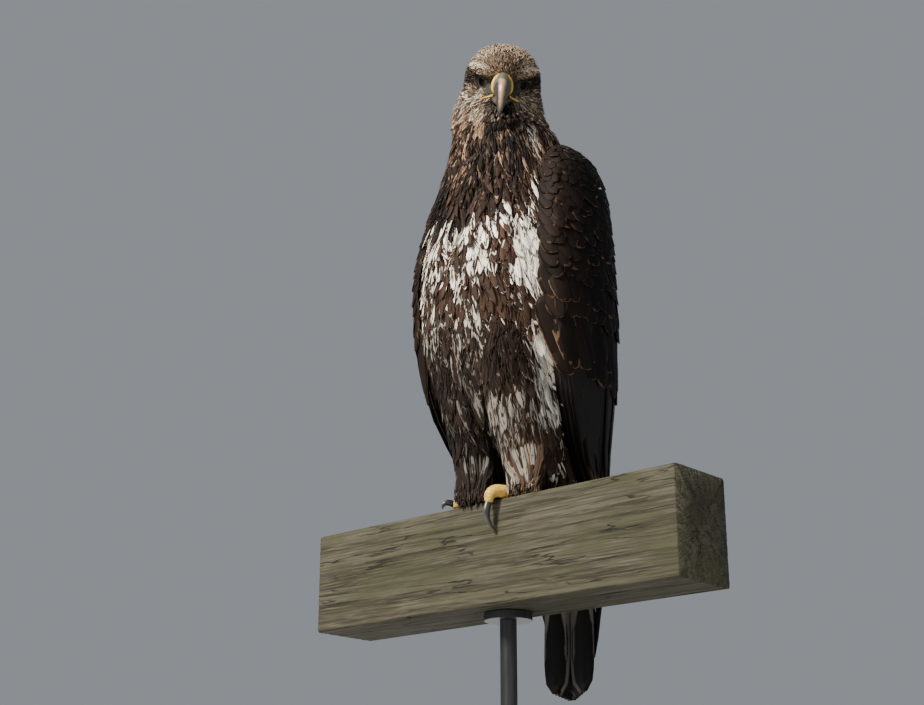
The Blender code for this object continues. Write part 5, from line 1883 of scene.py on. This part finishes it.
def toe_skin():
    """Cells for the scales, in a deeper yellow in the grooves, with a little grime."""
    f = Finish("toe_skin")
    groove = f.between(f.node("ShaderNodeTexVoronoi", "Distance", feature="DISTANCE_TO_EDGE", Vector=f.place,
                              Scale=620.0), 0.0, 0.16)
    colour = f.mix(groove, (0.36, 0.2, 0.025), (0.74, 0.47, 0.075))
    colour = f.mix(f.own("groove") * 0.6, colour, (0.26, 0.15, 0.03))
    colour = f.mix(f.between(f.noise(f.place, 160.0, 4.0, 0.6), 0.52, 0.78), colour, (0.22, 0.145, 0.06))
    return f.done(colour, groove, 0.6, 0.0004, Roughness=0.48)


def digit_frame(rows, foot, degrees, side, count):
    """A path from (out, up, radius) rows: out runs from the foot along a heading, up is over the timber."""
    line = curve_through(rows, count)
    heading = math.radians(degrees)
    way = np.array([side * math.sin(heading), -math.cos(heading), 0])
    path = np.array([foot[0], foot[1], PERCH]) + line[:, :1] * way + line[:, 1:2] * UP
    ahead = unit(np.gradient(path, axis=0))
    across = np.broadcast_to(np.cross(way, UP), path.shape)
    over = unit(np.cross(across, ahead))
    return path, across, over, line[:, 2]


def toe_rings(rows, foot, degrees, side):
    """Plates across the top: the radius swells and dips with a saw of the arc length, most at the top."""
    count, columns = 150, 40
    path, across, over, radius = digit_frame(rows, foot, degrees, side, count)
    reach = np.concatenate([[0], np.cumsum(np.linalg.norm(np.diff(path, axis=0), axis=1))])
    angle = round_angles(columns)
    phase = (reach / PLATE_PITCH) % 1
    top = np.clip(np.cos(angle), 0, 1) ** 0.7
    plate = np.exp(-((np.minimum(phase, 1 - phase) / 0.13) ** 2))[:, None] * top
    pads = 0.06 * np.clip(-np.cos(angle), 0, 1) * np.sin(reach / reach[-1] * 3 * np.pi)[:, None] ** 2
    size = (radius[:, None] * (0.97 + pads) - 0.00034 * plate) / radius[:, None]
    close = np.sqrt(np.clip(1 - (np.arange(count) / (count - 1)) ** 18, 0.02, 1))[:, None]
    spoke = across[:, None] * np.sin(angle)[:, None] + over[:, None] * np.cos(angle)[:, None]
    return path[:, None] + spoke * (radius[:, None] * size * close)[..., None], plate


def palm_rings(foot):
    """An ellipsoid over the timber, from which the toes spread."""
    angle = round_angles(40)
    rise = np.linspace(-0.5 * np.pi + 0.05, 0.5 * np.pi - 0.05, 40)[:, None]
    x = foot[0] + 0.0126 * np.cos(rise) * np.cos(angle)
    y = foot[1] + 0.0146 * np.cos(rise) * np.sin(angle)
    return np.stack([x, y, PERCH + 0.0106 + 0.0099 * np.sin(rise) + 0 * angle], 2), np.zeros((40, 40))


def shank_rings(foot):
    """The bare shank, with plates down its front."""
    angle = round_angles(40)
    up = np.linspace(0.008, 0.07, 110)
    step = (up / PLATE_PITCH) % 1
    front = np.clip(np.sin(angle - np.pi), 0, 1) ** 0.7
    plate = np.exp(-((np.minimum(step, 1 - step) / 0.12) ** 2))[:, None] * front
    radius = np.interp(up, [0, 0.045, 0.075], [0.0084, 0.0078, 0.0072])[:, None] - 0.0003 * plate
    lean = np.interp(up, [0.0175, 0.075], [0, 0.012])[:, None]
    shank = np.stack([foot[0] + radius * np.cos(angle), foot[1] + lean + radius * np.sin(angle),
                      PERCH + up[:, None] + 0 * angle], 2)
    return shank, plate


def front_digit(word, side):
    """Rows (out, up, radius) of a front toe and of its claw. Only the left inner one passes the edge."""
    degrees, fat = FRONT_TOES[word]
    edge = (FEET[side][1] + FRONT_EDGE) / math.cos(math.radians(degrees))
    over = edge + 0.0005
    tip = edge - CLAW_REACH
    if (side, word) == (1, "inner"):
        toe = [(0, 0.0096, 0.007), (0.35 * edge, 0.0084, 0.0066), (0.72 * edge, 0.008, 0.007 * fat),
               (over + 0.001, 0.0082, 0.0066 * fat), (over + 0.008, 0.003, 0.006 * fat),
               (over + 0.0098, -0.007, 0.005 * fat)]
        claw = [(over + 0.0094, -0.005, 0.004), (over + 0.0118, -0.015, 0.0041),
                (over + 0.011, -0.023, 0.0031), (over + 0.007, -0.03, 0.0018),
                (over + 0.003, -0.0335, 0.0004)]
    else:
        toe = [(0, 0.0096, 0.007), (0.4 * tip, 0.0084, 0.0066 * fat), (0.75 * tip, 0.008, 0.007 * fat),
               (tip, 0.0072, 0.0056 * fat)]
        claw = [(tip - 0.0017, 0.0078, 0.004), (tip + 0.0045, 0.0092, 0.0037),
                (tip + 0.0088, 0.0074, 0.0027), (tip + 0.0106, 0.0042, 0.0015), (tip + 0.011, 0.0014, 0.0004)]
    return degrees, toe, claw


def merged(name, parts, finish):
    """Several wound surfaces as one mesh."""
    shape = bmesh.new()
    for rings, plate in parts:
        part = wound_mesh(name + "_part", rings, finish, {"groove": plate})
        shape.from_mesh(part)
        bpy.data.meshes.remove(part)
    mesh = bpy.data.meshes.new(name)
    shape.to_mesh(mesh)
    shape.free()
    mesh.materials.append(finish)
    return mesh


def foot_pieces(side, skin, horn):
    """One leg: four toes, a palm and the shank merged, and a talon for each toe."""
    foot = FEET[side]
    digits = {word: front_digit(word, side) for word in FRONT_TOES}
    digits["hind"] = HIND_TURN[side], [
        (0, 0.0096, 0.007), (0.012, 0.0086, 0.0068), (0.024, 0.0082, 0.0072), (0.036, 0.0086, 0.0056)], [
        (0.0335, 0.0084, 0.0044), (0.044, 0.0115, 0.0044), (0.053, 0.01, 0.0036), (0.058, 0.0, 0.0021),
        (0.0575, -0.009, 0.0004)]
    parts = [toe_rings(toe, foot, degrees, side) for degrees, toe, _ in digits.values()]
    name = "toes_" + SIDES[side]
    mesh = merged(name, parts + [palm_rings(foot), shank_rings(foot)], skin)
    shown(name, mesh, "skin", "foot_" + SIDES[side], "tarsus_" + SIDES[side])
    angle = round_angles(32)
    outline = (np.sin(angle) * 0.82, np.cos(angle) * np.where(np.cos(angle) > 0, 1.05, 0.85))
    for word, (degrees, _, claw) in digits.items():
        path, across, over, radius = digit_frame(claw, foot, degrees, side, 70)
        rings = rings_along(path, across, over, radius, radius, outline)
        tag = SIDES[side] + "_" + word
        wound_piece("talon_" + tag, rings, horn, "claw", "claw_" + tag)


toe_finish = toe_skin()
claw_horn = horn_finish("claw_horn", (0.018, 0.016, 0.015), (0.045, 0.04, 0.036), (0.012, 0.011, 0.011))
for side in SIDES:
    foot_pieces(side, toe_finish, claw_horn)

# %% [markdown]
# The perch is a sawn length of softwood left years in the weather. The summer wood has worn away between
# the harder winter lines, so the grain stands up in ridges. Long cracks follow it, the edges are rounded,
# and a grey-green film of algae covers the wood. The grain is in the shape as well as in the finish.

# %% Timber
def timber_section(half, corner, each):
    """Points round the section of the beam, each of its corners rounded."""
    t = np.linspace(-1, 1, each, endpoint=False)
    square = np.concatenate([np.stack([t, 0 * t + 1], 1), np.stack([0 * t + 1, -t], 1),
                             np.stack([-t, 0 * t - 1], 1), np.stack([0 * t - 1, t], 1)])
    place = square * half
    core = np.clip(place, -(half - corner), half - corner)
    gap = place - core
    return core + unit(gap) * np.minimum(np.linalg.norm(gap, axis=1, keepdims=True), corner)


def timber():
    """A box of rings from end to end. Each ring's points move in by a sum of sines along the grain and by
    cracks that are narrow valleys."""
    low, high = (np.array(v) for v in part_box("perch_beam"))
    half = (high - low) / 2
    centre = (high + low) / 2
    corner = 0.004
    place = timber_section(half[1:], corner, 60)
    x = np.linspace(-1, 1, 260) * (half[0] - 0.0005)
    girth = round_angles(len(place))
    rng = np.random.default_rng(7)
    wear = np.zeros((len(x), len(place)))
    for _ in range(26):
        turns = rng.integers(18, 95)
        phase = rng.uniform(0, 6.28)
        wander = 1.6 * np.sin(x * rng.uniform(4, 11) + rng.uniform(0, 6.28))[:, None]
        wear += np.sin(girth * turns + phase + wander) * rng.uniform(0.3, 1.0) / 26
    cracks = np.zeros_like(wear)
    for _ in range(15):
        at, length, middle = rng.uniform(0, 6.28), rng.uniform(0.05, 0.16), rng.uniform(-0.22, 0.22)
        line = at + 0.03 * np.sin(x * 14 + rng.uniform(0, 6.28)) + rng.uniform(-0.2, 0.2) * x
        narrow = np.abs((girth - line[:, None] + np.pi) % (2 * np.pi) - np.pi) / 0.011
        taper = np.clip(1 - np.abs(x - middle)[:, None] / length, 0, 1) ** 0.5
        cracks = np.maximum(cracks, np.clip(1 - narrow, 0, 1) * taper)
    inward = np.clip(0.0005 + 0.0007 * (wear * 3 + 0.5) + 0.0022 * cracks, 0, None)
    out = unit(np.where(np.abs(place) >= half[1:] - corner, place, 0))
    rings = np.zeros((len(x), len(place), 3))
    rings[..., 0] = centre[0] + x[:, None]
    rings[..., 1:] = centre[1:] + (place - out * inward[..., None])
    return rings, wear, cracks


def timber_finish():
    """Grain, year rings about the pith, pale fibre, a green film, darker worn valleys of the grain, and cracks
    and fine checks darkened as painted shade.
    """
    f = Finish("weathered_wood")
    broad = (9.0, 26.0, 26.0)
    grain = f.grain((6.0, 170.0, 170.0), 1.0, 6.0, 0.62)
    fibre = f.grain((24.0, 620.0, 620.0), 1.0, 3.0, 0.6)
    algae = f.grain(broad, 1.0, 5.0, 0.65)
    _, y, z = f.split(f.place)
    y, z = y - 0.013, z - (PERCH - 0.16)
    year = ((y * y + z * z).step("SQRT") * 1900.0 + f.grain(broad, 0.6) * 22.0).step("SINE")
    line = abs(f.grain((7.0, 75.0, 75.0), 1.0, 3.0) - 0.5)
    check = f.between(line, 0.016, 0.004) * f.between(f.grain(broad, 1.7), 0.46, 0.58)
    colour = f.mix(f.between(grain, 0.38, 0.62), (0.015, 0.0135, 0.009), (0.062, 0.056, 0.037))
    # darker in the worn valleys of the grain; painted shade: cracks and fine checks are near black, as the
    # shade inside them
    for share, tone in (
            (f.between(year, 0.2, 0.95) * 0.45, (0.04, 0.034, 0.02)),
            (f.between(fibre, 0.48, 0.7) * 0.8, (0.09, 0.084, 0.061)),
            (f.between(algae, 0.4, 0.62) * 0.6, (0.032, 0.034, 0.015)),
            (f.between(f.own("wear"), 0.02, 0.3) * 0.6, (0.018, 0.015, 0.01)),
            (f.own("crack") * 0.9, (0.014, 0.011, 0.008)),
            (check * 0.9, (0.01, 0.008, 0.006))):
        colour = f.mix(share, colour, tone)
    relief = grain * 0.8 + fibre * 0.35 + year * -0.12 + check * -1.2
    return f.done(colour, relief, 0.6, 0.0009, Roughness=0.86, Specular_IOR_Level=0.2)


rings, wear, cracks = timber()
wound_piece("timber", rings, timber_finish(), "timber", "perch_beam", wear=wear, crack=cracks)

# %% [markdown]
# The stand is there to be overlooked: a painted board, a steel rod and two turned collars, all satin black.
# Its solids are already true to shape, so they stay, and only get their finishes.

# %% Stand finishes
def stand_finish(name, tone, roughness, scale, stretch, metal):
    """A tone and a roughness that both follow one fine grain."""
    f = Finish(name)
    grain = f.grain(stretch, scale, 4.0, 0.6)
    colour = f.mix(grain, np.array(tone) * 0.75, np.array(tone) * 1.3)
    return f.done(colour, grain, 0.12, 0.0003, Roughness=grain * 0.2 + (roughness - 0.1), Metallic=metal)


board = stand_finish("painted_board", (0.022, 0.022, 0.023), 0.42, 400.0, (0.2, 1.0, 1.0), 0.0)
steel = stand_finish("blackened_steel", (0.05, 0.05, 0.052), 0.36, 700.0, (1.0, 1.0, 0.06), 0.85)
for name in ("stand_base", "stand_rod", "stand_collar_foot", "stand_collar_top"):
    materials = nodes[name].data.materials
    for number in range(len(materials)):
        materials[number] = board if name == "stand_base" else steel

# %% [markdown]
# The scene is a plain pale room with three soft lights: a strong key high in front, a weak fill from the
# right and a rim light from behind. The camera stands low and looks up past the timber, as one does at a
# bird overhead, from 40 degrees to the bird's left, so that the head looks straight into it.

# %% Floor, lights and camera
def placed(name, data):
    """A new object of the scene that is not a piece of the model."""
    made = bpy.data.objects.new(name, data)
    bpy.context.scene.collection.objects.link(made)
    return made


def facing(at, towards):
    """The turn of a light or camera at one place that looks at another."""
    return (Vector(towards) - Vector(at)).to_track_quat("-Z", "Y").to_euler()


def soft_light(name, at, towards, size, power, tone):
    light = bpy.data.lights.new(name, "AREA")
    light.shape = "SQUARE"
    light.size = size
    light.energy = power
    light.color = tone
    made = placed(name, light)
    made.location = at
    made.rotation_euler = facing(at, towards)


f = Finish("pale_floor")
floor_tone = np.array([0.62, 0.63, 0.64])
pale_floor = f.done(f.mix(f.noise(f.place, 3.0), floor_tone * 0.985, floor_tone), Roughness=0.8)
floor_mesh = bpy.data.meshes.new("floor")
floor_mesh.from_pydata([(-30, -30, 0), (30, -30, 0), (30, 30, 0), (-30, 30, 0)], [], [(0, 1, 2, 3)])
floor_mesh.materials.append(pale_floor)
floor = placed("floor", floor_mesh)

soft_light("key", (-0.35, -2.5, 2.75), (0, 0, 0.75), 0.7, 370, (1.0, 0.95, 0.88))
soft_light("fill", (3.0, -0.6, 1.6), (0, 0, 0.7), 2.4, 10, (0.9, 0.95, 1.0))
soft_light("rim", (-1.6, 2.4, 2.4), (0, 0, 0.7), 1.8, 45, (0.94, 0.97, 1.0))
world = bpy.data.worlds.new("room")
bpy.context.scene.world = world
world.use_nodes = True
background = world.node_tree.nodes["Background"]
background.inputs["Color"].default_value = (0.8, 0.86, 0.93, 1)
background.inputs["Strength"].default_value = 0.33

CAMERA_AZIMUTH, CAMERA_FAR, CAMERA_HEIGHT = math.radians(40), 1.65, 0.035
CAMERA_AIM = (-0.0066, -0.0668, 0.5984)
lens = bpy.data.cameras.new("camera")
lens.lens = 60.1
camera = placed("camera", lens)
camera.location = (CAMERA_FAR * math.sin(CAMERA_AZIMUTH), -CAMERA_FAR * math.cos(CAMERA_AZIMUTH),
                   CAMERA_HEIGHT)
camera.rotation_euler = facing(camera.location, CAMERA_AIM)
bpy.context.scene.camera = camera
